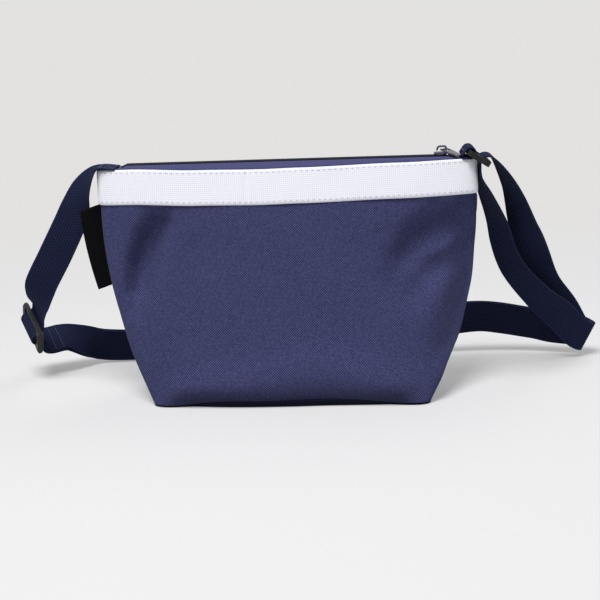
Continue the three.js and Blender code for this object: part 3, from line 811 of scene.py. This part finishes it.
baseBinding = {"low": 2.6, "high": 8.6, "inset": 1.9, "thickness": 0.6, "rows": 6, "columns": 120}


def tapeHeights(tape):
    return [tape["low"] + (tape["high"] - tape["low"]) * share for share in shares(tape["rows"])]


def makeBinding(name, side, node, tape):        # bound seam allowance inside the lower edge
    rows = []
    for z in tapeHeights(tape):
        row = wallLine(side, z, tape["columns"], -tape["inset"])
        for point in row:
            point.y -= side * rollUnder(point.x, z)
        rows.append(row)
    rows, cuts = turnedOut(side, rows, panelCuts(rows))
    return bagSheet(name, node, rows, tape["thickness"], "bindingCloth", cuts)


bindingFront = makeBinding("bindingFront", -1, "base_binding_front", baseBinding)
bindingBack = makeBinding("bindingBack", 1, "base_binding_back", baseBinding)

seamBinding = {"low": 9.4, "high": 157.0, "inset": 1.7, "width": 7.0, "thickness": 1.0, "rows": 48,
               "columns": 4}


def makeSeamBinding(name, side, node, tape):        # bound seam allowance inside a side seam
    steps = [side * tape["width"] * share for share in shares(tape["columns"])][::-1]
    rows = []
    for z in tapeHeights(tape):
        seam = wallPoint(0.0 if side > 0 else math.pi, z, -tape["inset"])
        rows.append([Vector((seam.x - step, seam.y - tape["thickness"] / 2, z)) for step in steps])
    return bagSheet(name, node, rows, tape["thickness"], "bindingCloth")


seamLeft = makeSeamBinding("seamBindingLeft", -1, "seam_binding_left", seamBinding)
seamRight = makeSeamBinding("seamBindingRight", 1, "seam_binding_right", seamBinding)


# white band

whiteBand = {"top": 170.3, "width": 25.0, "thickness": 1.2, "lift": 1.5, "columns": 220, "rows": 16,
             "edge": 0.35, "puff": 0.22, "dipAt": -28, "dip": 0.5, "dipWidth": 1.4}


def bandRows(band):
    rows = []
    for v in shares(band["rows"]):
        z = band["top"] - band["width"] * (1 - v)
        edge = min(v, 1 - v) * band["width"]
        lift = band["lift"] - band["edge"] * math.exp(-(edge / 0.8) ** 2)
        row = wallLine(-1, min(z, pouch["height"]), band["columns"], lift)
        puff = band["puff"] * math.sin(math.pi * v)
        dip = band["dip"] * smoothStep(0.0, 0.2, v) * smoothStep(1.0, 0.75, v)
        for point in row:
            x = point.x
            wave = math.sin(x * 0.11 + 0.8) * math.sin(x * 0.047)
            groove = math.exp(-((x - band["dipAt"]) / band["dipWidth"]) ** 2)
            point.z = z + mouthRise(x)
            point.y -= puff * wave - dip * groove
        rows.append(row)
    return rows


def makeBand(band):
    rows = bandRows(band)
    piece = bagSheet("whiteBand", "white_band", rows, band["thickness"],
                     "bandWebbing")


makeBand(whiteBand)
print("white band")


# zip tapes

zipTape = {
    "chainZ": 173.0,
    "low": 0.4,                 # how far the tape lies below the chain's middle
    "edge": 2.6,
    "flat": 4.6,
    "halfLength": 126.0,
    "thickness": 0.5,
    "drop": 12.0,
    "bend": (0.9, 1.4, 0.2),    # over the cloth's edge: how far in, how high, where it turns down
    "columns": 150,
    "rows": 22,
    "bendSteps": 10,            # points between two corners before the line is smoothed
    "dips": [(-122, 4.0), (-114, 0.0), (119.5, 0.0), (126, 2.6)],      # x, how far its ends drop
}


def mouthInnerAt(x):
    n = squarenessAt(pouch["height"])
    along = min(1.0, abs(x) / (pouch["topHalfWidth"] - pouch["cloth"]))
    inner = pouch["mouthHalfDepth"] - pouch["cloth"]
    return inner * (1 - along ** n) ** (1 / n) - pouch["seamGap"]


def tapeDip(x):     # how far the tape hangs below its straight line
    return onKnots(zipTape["dips"], max(x, zipTape["dips"][0][0]))


def tapeLine(tape, x):      # across the tape, from the chain over the cloth's edge and down inside
    top = tape["chainZ"] - tape["low"] + tape["thickness"] / 2
    edge, height, steps = mouthInnerAt(x), pouch["height"], tape["bendSteps"]
    inset, rise, turn = tape["bend"]
    corners = [Vector((x, y, z)) for y, z in (
        (tape["edge"], top), (tape["flat"], top), (edge - inset, height + rise),
        (edge, height + turn), (edge, height - tape["drop"]))]
    soft = [a.lerp(b, k / steps) for a, b in zip(corners, corners[1:]) for k in range(steps)]
    soft.append(corners[-1])
    for _ in range(3):
        middle = [(p + q * 2 + r) / 4 for p, q, r in zip(soft, soft[1:], soft[2:])]
        soft = soft[:1] + middle + soft[-1:]
    line = evenLine(soft, tape["rows"])
    for point in line:
        outer = smoothStep(tape["flat"], edge, point.y)
        point.z += mouthRise(x) * outer - tapeDip(x) * (1 - outer)
    return line


def tapeRows(tape, side):
    lines = []
    for share in shares(tape["columns"]):
        line = tapeLine(tape, tape["halfLength"] * (2 * share - 1))
        for point in line:
            point.y *= side
        lines.append(line)
    return [list(row) for row in zip(*lines)]


def makeTape(name, side, node):
    rows = tapeRows(zipTape, side)
    cuts = panelCuts(rows)
    if side < 0:
        rows.reverse()
        cuts.reverse()
    piece = bagSheet(name, node, rows, zipTape["thickness"], "zipTapeCloth", cuts)


makeTape("zipTapeFront", -1, "zip_tape_front")
makeTape("zipTapeBack", 1, "zip_tape_back")
print("zip tapes")


# webbing

webbing = {"width": 25.0, "thickness": 1.4, "ribs": 12, "ribHeight": 0.14, "pointsPerRib": 4,
           "thinEdge": 0.22, "step": 2.6}

strapRuns = [      # direction across the webbing, then the places of its middle that share it, mm
    ((0, 1, 0), (-122, 0, 171), (-128.5, 0, 171.9), (-135.2, 0, 172)),
    ((-0.25, 0.96, 0.1), (-140, 0.5, 168.2)), ((-0.6, 0.75, 0.28), (-149.6, 4, 156)),
    ((-0.88, 0.28, 0.38), (-158, 9, 137.5)), ((-0.9, 0.1, 0.42), (-175.6, 18, 106.5)),
    ((-0.89, 0.12, 0.44), (-192.8, 28, 78)), ((-0.72, 0.42, 0.55), (-198, 35.6, 64.6)),
    ((-0.46, 0.68, 0.57), (-198.9, 40.1, 56.1), (-200.1, 43.4, 51.2), (-200.9, 44.7, 49),
     (-203.2, 44.8, 47), (-206, 44.1, 45.5), (-208.9, 44, 43.4), (-210.5, 45.5, 40.4),
     (-210.3, 47.9, 37.6), (-208.4, 50.5, 36.1), (-206.1, 52.7, 35.4), (-204.7, 54.9, 33.9),
     (-204.9, 56.6, 31.8), (-205, 60.2, 27.4), (-202.8, 63.6, 25.2), (-199.2, 66.5, 24.7),
     (-188.8, 72.4, 26.2)),
    ((0, 0, 1), (-160, 92, 16), (-90.5, 93, 14), (0, 93, 20), (90.5, 95, 26), (149, 97, 28.5),
     (182, 96, 23.8)),
    ((0.2, 0, 0.98), (205, 93, 21.5)),
    ((0.45, 0, 0.89), (223, 88.5, 19.5), (228.4, 86, 16.8), (230.6, 80, 15.6), (228.4, 74, 16.8),
     (223, 71.5, 19.5)),
    ((0.7, -0.14, 0.7), (207.8, 62, 38.5)), ((0.68, -0.5, 0.54), (188.5, 50, 57)),
    ((0.63, -0.68, 0.38), (168.9, 38, 79.7)), ((0.57, -0.8, 0.19), (158.5, 28, 99.7)),
    ((0.5, -0.86, 0.08), (152.6, 17, 121.2)), ((0.3, -0.95, 0), (143.6, 6, 146.3)),
    ((0.05, -1, 0), (138.9, 0.5, 160)),
    ((0, -1, 0), (139.1, 0, 167.9), (139.6, 0, 170.2), (141.1, 0, 171.9), (143.3, 0, 172.8),
     (145.6, 0, 172.7), (147.6, 0, 171.4)),
    ((0.2, -0.98, 0), (153.5, 1, 162.5)), ((0.41, -0.91, 0.05), (162.4, 8, 145)),
    ((0.67, -0.72, 0.2), (171.4, 22, 119)), ((0.84, -0.29, 0.46), (183.2, 46, 89.5)),
    ((0.85, -0.05, 0.52), (194.8, 58, 64.5)), ((0.71, 0, 0.71), (211.2, 68, 42.3)),
    ((0.61, 0.08, 0.79), (222.1, 73.9, 20)), ((0.4, -0.02, 0.92), (225.3, 75.1, 18.1)),
    ((0.45, 0, 0.89), (226.7, 75.8, 17.6), (227.8, 77.8, 17.1), (228.3, 80, 16.8),
     (227.8, 82.2, 17.1), (226.7, 84.2, 17.6)),
    ((0.5, -0.02, 0.87), (225.4, 85, 18.5)), ((0.3, 0.06, 0.95), (222.3, 86, 19.9)),
    ((0.1, 0.06, 0.99), (214.2, 88.3, 20.9)), ((0.11, 0.02, 0.99), (204.5, 90.4, 21.6)),
    ((0.09, 0, 1), (193.6, 92.3, 22.6)), ((0.12, -0.01, 0.99), (181.8, 93.7, 23.8)),
    ((0.17, 0, 0.99), (166.4, 94.7, 26.4)), ((0.05, 0, 1), (149, 95, 28.5)),
    ((-0.06, 0, 1), (121.7, 94.2, 28)), ((-0.05, 0, 1), (90.5, 93, 26)),
    ((-0.07, 0, 1), (46.5, 91.8, 23.2), (0, 91, 20)), ((-0.08, 0, 1), (-46, 90.5, 16.4)),
    ((-0.02, 0, 1), (-90.4, 90, 14)), ((0.02, 0, 1), (-128.1, 91, 13.7)),
    ((0.16, 0.05, 0.99), (-158.8, 88.2, 16)), ((-0.07, 0.56, 0.83), (-173.7, 80.1, 23.4)),
    ((-0.39, 0.72, 0.57), (-187.4, 70.6, 29.4)), ((-0.49, 0.66, 0.57), (-194.1, 66.7, 28.8)),
    ((-0.46, 0.68, 0.57), (-197.9, 64.6, 28), (-199.6, 63.4, 28), (-200.4, 62.7, 28.2),
     (-201.1, 61.7, 28.7), (-201.6, 60.9, 29.4), (-201.7, 59.1, 31.4), (-201.4, 55.9, 35.4),
     (-202.4, 52.7, 38.4), (-203.5, 50, 40.7), (-203.2, 49.1, 42), (-203.6, 47.9, 43.1),
     (-204.7, 46.7, 43.6), (-206.1, 45.9, 43.4), (-207.5, 45.6, 42.6), (-208.5, 46, 41.3),
     (-208.8, 46.9, 40), (-208.4, 48.1, 38.9), (-207.3, 49.3, 38.4), (-205, 51.4, 37.8),
     (-203.6, 53.7, 36.2), (-203, 56, 34), (-203.4, 58.1, 31.2), (-203.3, 60.5, 28.4),
     (-202.6, 61.8, 27.4), (-201.6, 63.2, 26.7), (-200.4, 64.2, 26.4), (-198.6, 65.5, 26.4)),
    ((-0.49, 0.66, 0.57), (-194.4, 67.9, 27.2)), ((-0.39, 0.72, 0.57), (-188.1, 71.5, 27.8)),
]

tabRun = [         # x and z of the loop's middle, mm
    (126.2, 171.8), (129.5, 171.9), (131.9, 171.8), (133.8, 172.3), (135.2, 173.7),
    (135.7, 175.6), (135.2, 177.5), (133.8, 178.9), (131.9, 179.4), (129.6, 178.5),
    (127.7, 175.9), (126.2, 173.5),
]


def settled(x, y, z):       # from the solid's route to the lie in the photograph
    if y > 60 and x < 0:
        z -= smoothStep(-140, -172, x) * smoothStep(-202, -193, x)
    elif x > 138:
        rear = smoothStep(80, 90, y)
        z += rear * (1.5 * smoothStep(205, 185, x) - smoothStep(185, 215, x))
        leg = -0.8 + 2.6 * smoothStep(40, 110, z)
        x += smoothStep(142, 158, x) * leg * (1 - rear) + 3.0 * smoothStep(210, 228, x)
    return x, y, z


strapRoute = [(Vector(settled(*place)), Vector(across))
              for across, *run in strapRuns for place in run]
tabRoute = [(Vector((x, 0, z)), Vector((0, 1, 0))) for x, z in tabRun]


def splineAt(route, i, t):      # centripetal spline between stop i and the next, and its slope
    p1, p2 = route[i][0], route[i + 1][0]
    p0 = route[i - 1][0] if i > 0 else p1 * 2 - p2
    p3 = route[i + 2][0] if i + 2 < len(route) else p2 * 2 - p1
    d0, d1, d2 = (max(1e-4, (b - a).length) ** 0.5 for a, b in ((p0, p1), (p1, p2), (p2, p3)))
    m1 = ((p1 - p0) / d0 - (p2 - p0) / (d0 + d1) + (p2 - p1) / d1) * d1
    m2 = ((p2 - p1) / d1 - (p3 - p1) / (d1 + d2) + (p3 - p2) / d2) * d1
    square = (p2 - p1) * 3 - m1 * 2 - m2
    cube = (p1 - p2) * 2 + m1 + m2
    return p1 + m1 * t + square * t * t + cube * t ** 3, m1 + square * 2 * t + cube * 3 * t * t


def webSample(route, i, t):     # middle, across and face normal
    point, slope = splineAt(route, i, t)
    slope.normalize()
    across = route[i][1].lerp(route[i + 1][1], t)
    across -= slope * across.dot(slope)
    across.normalize()
    return point, across, slope.cross(across)


def webSamples(route, step):
    samples = []
    for i in range(len(route) - 1):
        steps = max(2, round((route[i + 1][0] - route[i][0]).length / step))
        samples += [webSample(route, i, k / steps) for k in range(steps)]
    samples.append(webSample(route, len(route) - 2, 1.0))
    return samples


def webProfile(web):        # half heights over the width: ribs, and a thin selvedge
    count = web["ribs"] * web["pointsPerRib"]
    profile = []
    for k in range(count + 1):
        rib = abs(math.sin(math.pi * k / web["pointsPerRib"])) ** 0.7
        half = web["thickness"] / 2 - web["ribHeight"] * (1 - rib)
        half -= web["thinEdge"] if k in (0, count) else 0.0
        profile.append((web["width"] * (k / count - 0.5), half))
    return profile


def makeWebbing(name, node, route, web):
    samples = webSamples(route, web["step"])
    profile = webProfile(web)
    lengths = arcLengths([sample[0] for sample in samples])
    wide = len(profile)
    points, cuts, faces = [], [], []
    for (middle, across, normal), length in zip(samples, lengths):
        for side in (1, -1):
            for reach, half in profile:
                points.append((middle + across * reach + normal * half * side) * mm)
                cuts.append((length * mm, (reach + web["width"] / 2) * mm))
    ring = 2 * wide
    loop = list(range(wide)) + list(range(ring - 1, wide - 1, -1))
    last = (len(samples) - 1) * ring
    for start in range(0, last, ring):
        for a, b in zip(loop, loop[1:] + loop[:1]):
            faces.append((start + a, start + b, start + ring + b, start + ring + a))
    for k in range(wide - 1):
        end = (k, k + 1, wide + k + 1, wide + k)
        faces += [(end[1], end[0], end[3], end[2]), tuple(last + corner for corner in end)]
    piece = closedPiece(name, points, faces, cuts, "strapWebbing")
    return declare(piece, "bag", node), lengths[-1] * mm


strapPiece, strapLength = makeWebbing("shoulderStrap", "shoulder_strap", strapRoute, webbing)
tabPiece, tabLength = makeWebbing("ringTab", "ring_tab", tabRoute, webbing)
print("webbing: strap %.3f m, tab %.3f m" % (strapLength, tabLength))


# side tag

sideTag = {
    "top": 145.4,
    "height": 60.0,
    "reach": 15.2,
    "lowReach": 11.6,
    "fold": 0.9,                # radius
    "foldAt": (0.42, 0.58),     # share of the cloth's width where the fold begins and ends
    "thickness": 0.5,
    "swing": 0.3,
    "gap": 0.3,
    "droop": 0.3,
    "curl": 0.5,
    "rows": 40,
    "columns": 60,
}


def makeTag(tag):
    rows = []
    foldStart, foldEnd = tag["foldAt"]
    for v in shares(tag["rows"]):
        z = tag["top"] - tag["height"] * (1 - v)
        straight = tag["lowReach"] + (tag["reach"] - tag["lowReach"]) * v - tag["fold"]
        row = []
        for u in shares(tag["columns"]):
            turn = math.pi * smoothStep(foldStart, foldEnd, u)
            out = straight * min(1.0, u / foldStart, (1 - u) / foldStart)
            reach = out + tag["fold"] * math.sin(turn)
            curl = tag["curl"] * math.sin(v * 5.1 + 0.6) * (reach / tag["reach"]) ** 2
            y = tag["fold"] * math.cos(turn) - tag["swing"] * reach + curl
            x = -(halfWidthAt(z) + tag["gap"]) - reach
            row.append(Vector((x, y, z - tag["droop"] * reach)))
        rows.append(row)
    piece = bagSheet("sideTag", "side_tag", rows, tag["thickness"], "blackCloth")


makeTag(sideTag)
print("side tag")


# hard pieces: the solids' own shapes with softened edges

hardPieces = {      # node: piece, body, finish, slot, edge radius in mm
    "strap_ring": ("strapRing", "ring", "mouldedPlastic", "dark_plastic", 0.7),
    "strap_adjuster": ("strapAdjuster", "adjuster", "mouldedPlastic", "dark_plastic", 0.4),
    "zip_slider": ("zipSlider", "zip_slider", "sliderMetal", "gunmetal", 0.16),
    "zip_pull": ("zipPull", "zip_pull", "pullMetal", "gunmetal", 0.25),
    "zip_bottom_stop": ("bottomStop", "bag", "sliderMetal", "gunmetal", 0.4),
    "zip_top_stop_front": ("topStopFront", "bag", "sliderMetal", "gunmetal", 0.3),
    "zip_top_stop_back": ("topStopBack", "bag", "sliderMetal", "gunmetal", 0.3),
}


softening = {"weld": 0.002, "flatWithin": 2, "sharpFrom": 28, "segments": 3}     # mm, degrees


def plainMesh(piece, name):     # the piece as its modifiers make it, with no modifier left
    bpy.context.view_layer.update()
    finished = piece.evaluated_get(bpy.context.evaluated_depsgraph_get())
    made = bpy.data.meshes.new_from_object(finished)
    made.name = name
    piece.modifiers.clear()
    piece.data = made
    return made


def softenedCopy(node, name, body, finish, radius):
    work = bmesh.new()
    work.from_mesh(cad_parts[node].data)
    bmesh.ops.remove_doubles(work, verts=work.verts, dist=softening["weld"] * mm)
    if node == "zip_bottom_stop":       # it follows the tape's low end
        for corner in work.verts:
            corner.co.z -= tapeDip(corner.co.x / mm) * mm
    bmesh.ops.dissolve_limit(work, angle_limit=math.radians(softening["flatWithin"]),
                             verts=work.verts, edges=work.edges)
    mesh = bpy.data.meshes.new(name)
    work.to_mesh(mesh)
    work.free()
    mesh.materials.clear()
    mesh.materials.append(finishes[finish])
    piece = placed(name, mesh)
    bevel = piece.modifiers.new("softEdges", "BEVEL")
    bevel.width = radius * mm
    bevel.segments = softening["segments"]
    bevel.limit_method = "ANGLE"
    bevel.angle_limit = math.radians(softening["sharpFrom"])
    plainMesh(piece, name).shade_smooth()
    weighted = piece.modifiers.new("faceNormals", "WEIGHTED_NORMAL")
    weighted.keep_sharp = True
    plainMesh(piece, name)
    declare(piece, body, node)


for node, (name, body, finish, slot, radius) in hardPieces.items():
    softenedCopy(node, name, body, finish, radius)
print("hard pieces: %d" % len(hardPieces))


# repeats along a path

class PathTree(ShaderTree):     # geometry nodes, built like the shader trees
    def __init__(self, name, inputs):
        self.owner = bpy.data.node_groups.new(name, "GeometryNodeTree")
        self.nodes = self.owner.nodes
        self.links = self.owner.links
        sockets = self.owner.interface
        sockets.new_socket("Geometry", in_out="INPUT", socket_type="NodeSocketGeometry")
        self.keys = {}
        for label in inputs:
            made = sockets.new_socket(label, in_out="INPUT", socket_type="NodeSocketFloat")
            self.keys[label] = made.identifier
        sockets.new_socket("Geometry", in_out="OUTPUT", socket_type="NodeSocketGeometry")
        self.start = self.add("NodeGroupInput")
        self.path = self.add("GeometryNodeMeshToCurve", {"Mesh": self.start})
        values = {"Curve": self.path, "Length": self.start.out("pitch")}
        self.dots = self.add("GeometryNodeCurveToPoints", values, mode="LENGTH")

    def size(self, *lengths):
        return self.add("ShaderNodeCombineXYZ", dict(enumerate(lengths)))

    def finish(self, shape, finish):
        solid = self.add("GeometryNodeRealizeInstances", {"Geometry": shape})
        solid = self.add("GeometryNodeSetShadeSmooth", {"Geometry": solid})
        values = {"Geometry": solid, "Material": finishes[finish]}
        solid = self.add("GeometryNodeSetMaterial", values)
        self.add("NodeGroupOutput", {"Geometry": solid})

    def grow(self, name, lines, values):     # lines of points in mm become a finished mesh
        points, edges = [], []
        for line in lines:
            first = len(points)
            points += [point * mm for point in line]
            edges += [(first + k, first + k + 1) for k in range(len(line) - 1)]
        mesh = bpy.data.meshes.new(name)
        mesh.from_pydata(points, edges, [])
        piece = placed(name, mesh)
        growth = piece.modifiers.new("growth", "NODES")
        growth.node_group = self.owner
        for label, value in values.items():
            growth[self.keys[label]] = value * mm
        plainMesh(piece, name)
        return piece


def stitchTree(name, finish):
    tree = PathTree(name, ("pitch", "length", "radius"))
    radius = tree.start.out("radius")
    size = tree.size(tree.start.out("length") * 0.5, radius, radius)
    tangent = tree.dots.out("Tangent")
    turn = tree.add("FunctionNodeAlignRotationToVector", {"Vector": tangent}, axis="X")
    bead = tree.add("GeometryNodeMeshUVSphere", {"Segments": 6, "Rings": 5, "Radius": 1.0})
    bead = tree.add("GeometryNodeTransform", {"Geometry": bead, "Scale": size})
    seam = tree.add("GeometryNodeInstanceOnPoints",
                    {"Points": tree.dots, "Instance": bead, "Rotation": turn})
    tree.finish(seam, finish)
    return tree


bandStitches = {"inset": 2.2, "endsAt": 133.5, "columns": 260, "lift": 1.55,
                "pitch": 4.0, "length": 1.9, "radius": 0.27}
sewnStitches = {
    "pitch": 2.6,
    "length": 2.0,
    "radius": 0.24,
    "proud": 0.02,
    "halfLine": 11.0,
    "lineSteps": 12,
    "boxHalf": 10.5,
    "boxEnds": ((0, 0.25), (1, 0.75)),              # stop on the strap's route, and how far past it
    "strapLines": ((80, 0.5), (81, 0.5)),
    "tabLines": ((9, 0.7),),
}


def bandSeams(band, stitch):
    lines = []
    for z in (band["top"] - stitch["inset"], band["top"] - band["width"] + stitch["inset"]):
        line = wallLine(-1, z, stitch["columns"], stitch["lift"])
        for point in line:
            point.z += mouthRise(point.x)
        lines.append([point for point in line if abs(point.x) < stitch["endsAt"]])
    return lines


def acrossWeb(route, i, t, lift, stitch):       # a line of stitches across the webbing
    middle, across, normal = webSample(route, i, t)
    reach = stitch["halfLine"]
    return [middle + across * (reach * (share - 0.5) * 2) + normal * lift
            for share in shares(stitch["lineSteps"])]


def boxOnStrapEnd(stitch, lift):        # box with a cross, on the strap's sewn end
    near, far = (webSample(strapRoute, i, t) for i, t in stitch["boxEnds"])
    half = stitch["boxHalf"]
    up = Vector((0, 0, lift))
    spots = ((near, -half), (near, half), (far, half), (far, -half))
    corners = [middle + across * reach + up for (middle, across, _), reach in spots]
    ring = corners + corners[:1]
    return [ring, [corners[0], corners[2]], [corners[1], corners[3]]]


def strapSeams(stitch):
    face = webbing["thickness"] / 2 + stitch["proud"]
    lines = boxOnStrapEnd(stitch, face)
    for route, stops in ((strapRoute, stitch["strapLines"]), (tabRoute, stitch["tabLines"])):
        lines += [acrossWeb(route, i, t, -face, stitch) for i, t in stops]
    return lines


def sewOn(name, finish, lines, stitch):
    sizes = {key: stitch[key] for key in ("pitch", "length", "radius")}
    piece = stitchTree(name, finish).grow(name, lines, sizes)
    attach(piece, "bag")
    return piece


sewn = [
    sewOn("bandStitches", "whiteThread",
          bandSeams(whiteBand, bandStitches), bandStitches),
    sewOn("strapStitches", "paleThread", strapSeams(sewnStitches), sewnStitches),
]
print("stitches: %d and %d faces" % tuple(len(piece.data.polygons) for piece in sewn))


zipChain = {
    "start": -119.0,
    "end": 112.3,
    "inset": (0.8, 0.6),        # first and last tooth from the ends
    "pitch": 2.5,
    "tooth": 1.5,
    "reach": 3.8,
    "thick": 2.6,
    "cord": 0.95,
    "apart": 0.85,              # each row from the middle
    "cordApart": 0.9,           # and its cord from the row
    "steps": 93,
}


def toothTree(name):
    tree = PathTree(name, ("pitch", "tooth", "reach", "thick", "cord", "side"))
    size = tree.size(*(tree.start.out(label) for label in ("tooth", "reach", "thick")))
    tooth = tree.add("GeometryNodeMeshCube",
                     {"Size": size, "Vertices X": 2, "Vertices Y": 3, "Vertices Z": 2})
    tooth = tree.add("GeometryNodeSubdivisionSurface", {"Mesh": tooth, "Level": 1})
    row = tree.add("GeometryNodeInstanceOnPoints", {"Points": tree.dots, "Instance": tooth})
    ring = tree.add("GeometryNodeCurvePrimitiveCircle",
                    {"Resolution": 8, "Radius": tree.start.out("cord")}, mode="RADIUS")
    cord = tree.add("GeometryNodeCurveToMesh",
                    {"Curve": tree.path, "Profile Curve": ring, "Fill Caps": True})
    back = tree.size(0.0, tree.start.out("side"))
    cord = tree.add("GeometryNodeTransform", {"Geometry": cord, "Translation": back})
    both = tree.add("GeometryNodeJoinGeometry", {"Geometry": row})
    tree.links.new(cord.socket, both.socket.node.inputs["Geometry"])
    tree.finish(both, "toothNylon")
    return tree


def makeTeeth(name, side, node, chain, tree):
    early, late = chain["inset"]
    first = chain["start"] + (early if side < 0 else early + chain["pitch"] / 2)
    line = []
    for share in shares(chain["steps"]):
        x = first + (chain["end"] - late - first) * share
        line.append(Vector((x, side * chain["apart"], zipTape["chainZ"] - tapeDip(x))))
    sizes = {key: chain[key] for key in ("pitch", "tooth", "reach", "thick", "cord")}
    sizes["side"] = side * chain["cordApart"]
    piece = tree.grow(name, [line], sizes)
    return declare(piece, "bag", node)


teeth = toothTree("zipTeeth")
teethFront = makeTeeth("zipTeethFront", -1, "zip_teeth_front", zipChain, teeth)
makeTeeth("zipTeethBack", 1, "zip_teeth_back", zipChain, teeth)
print("zip teeth: %d faces a row" % len(teethFront.data.polygons))
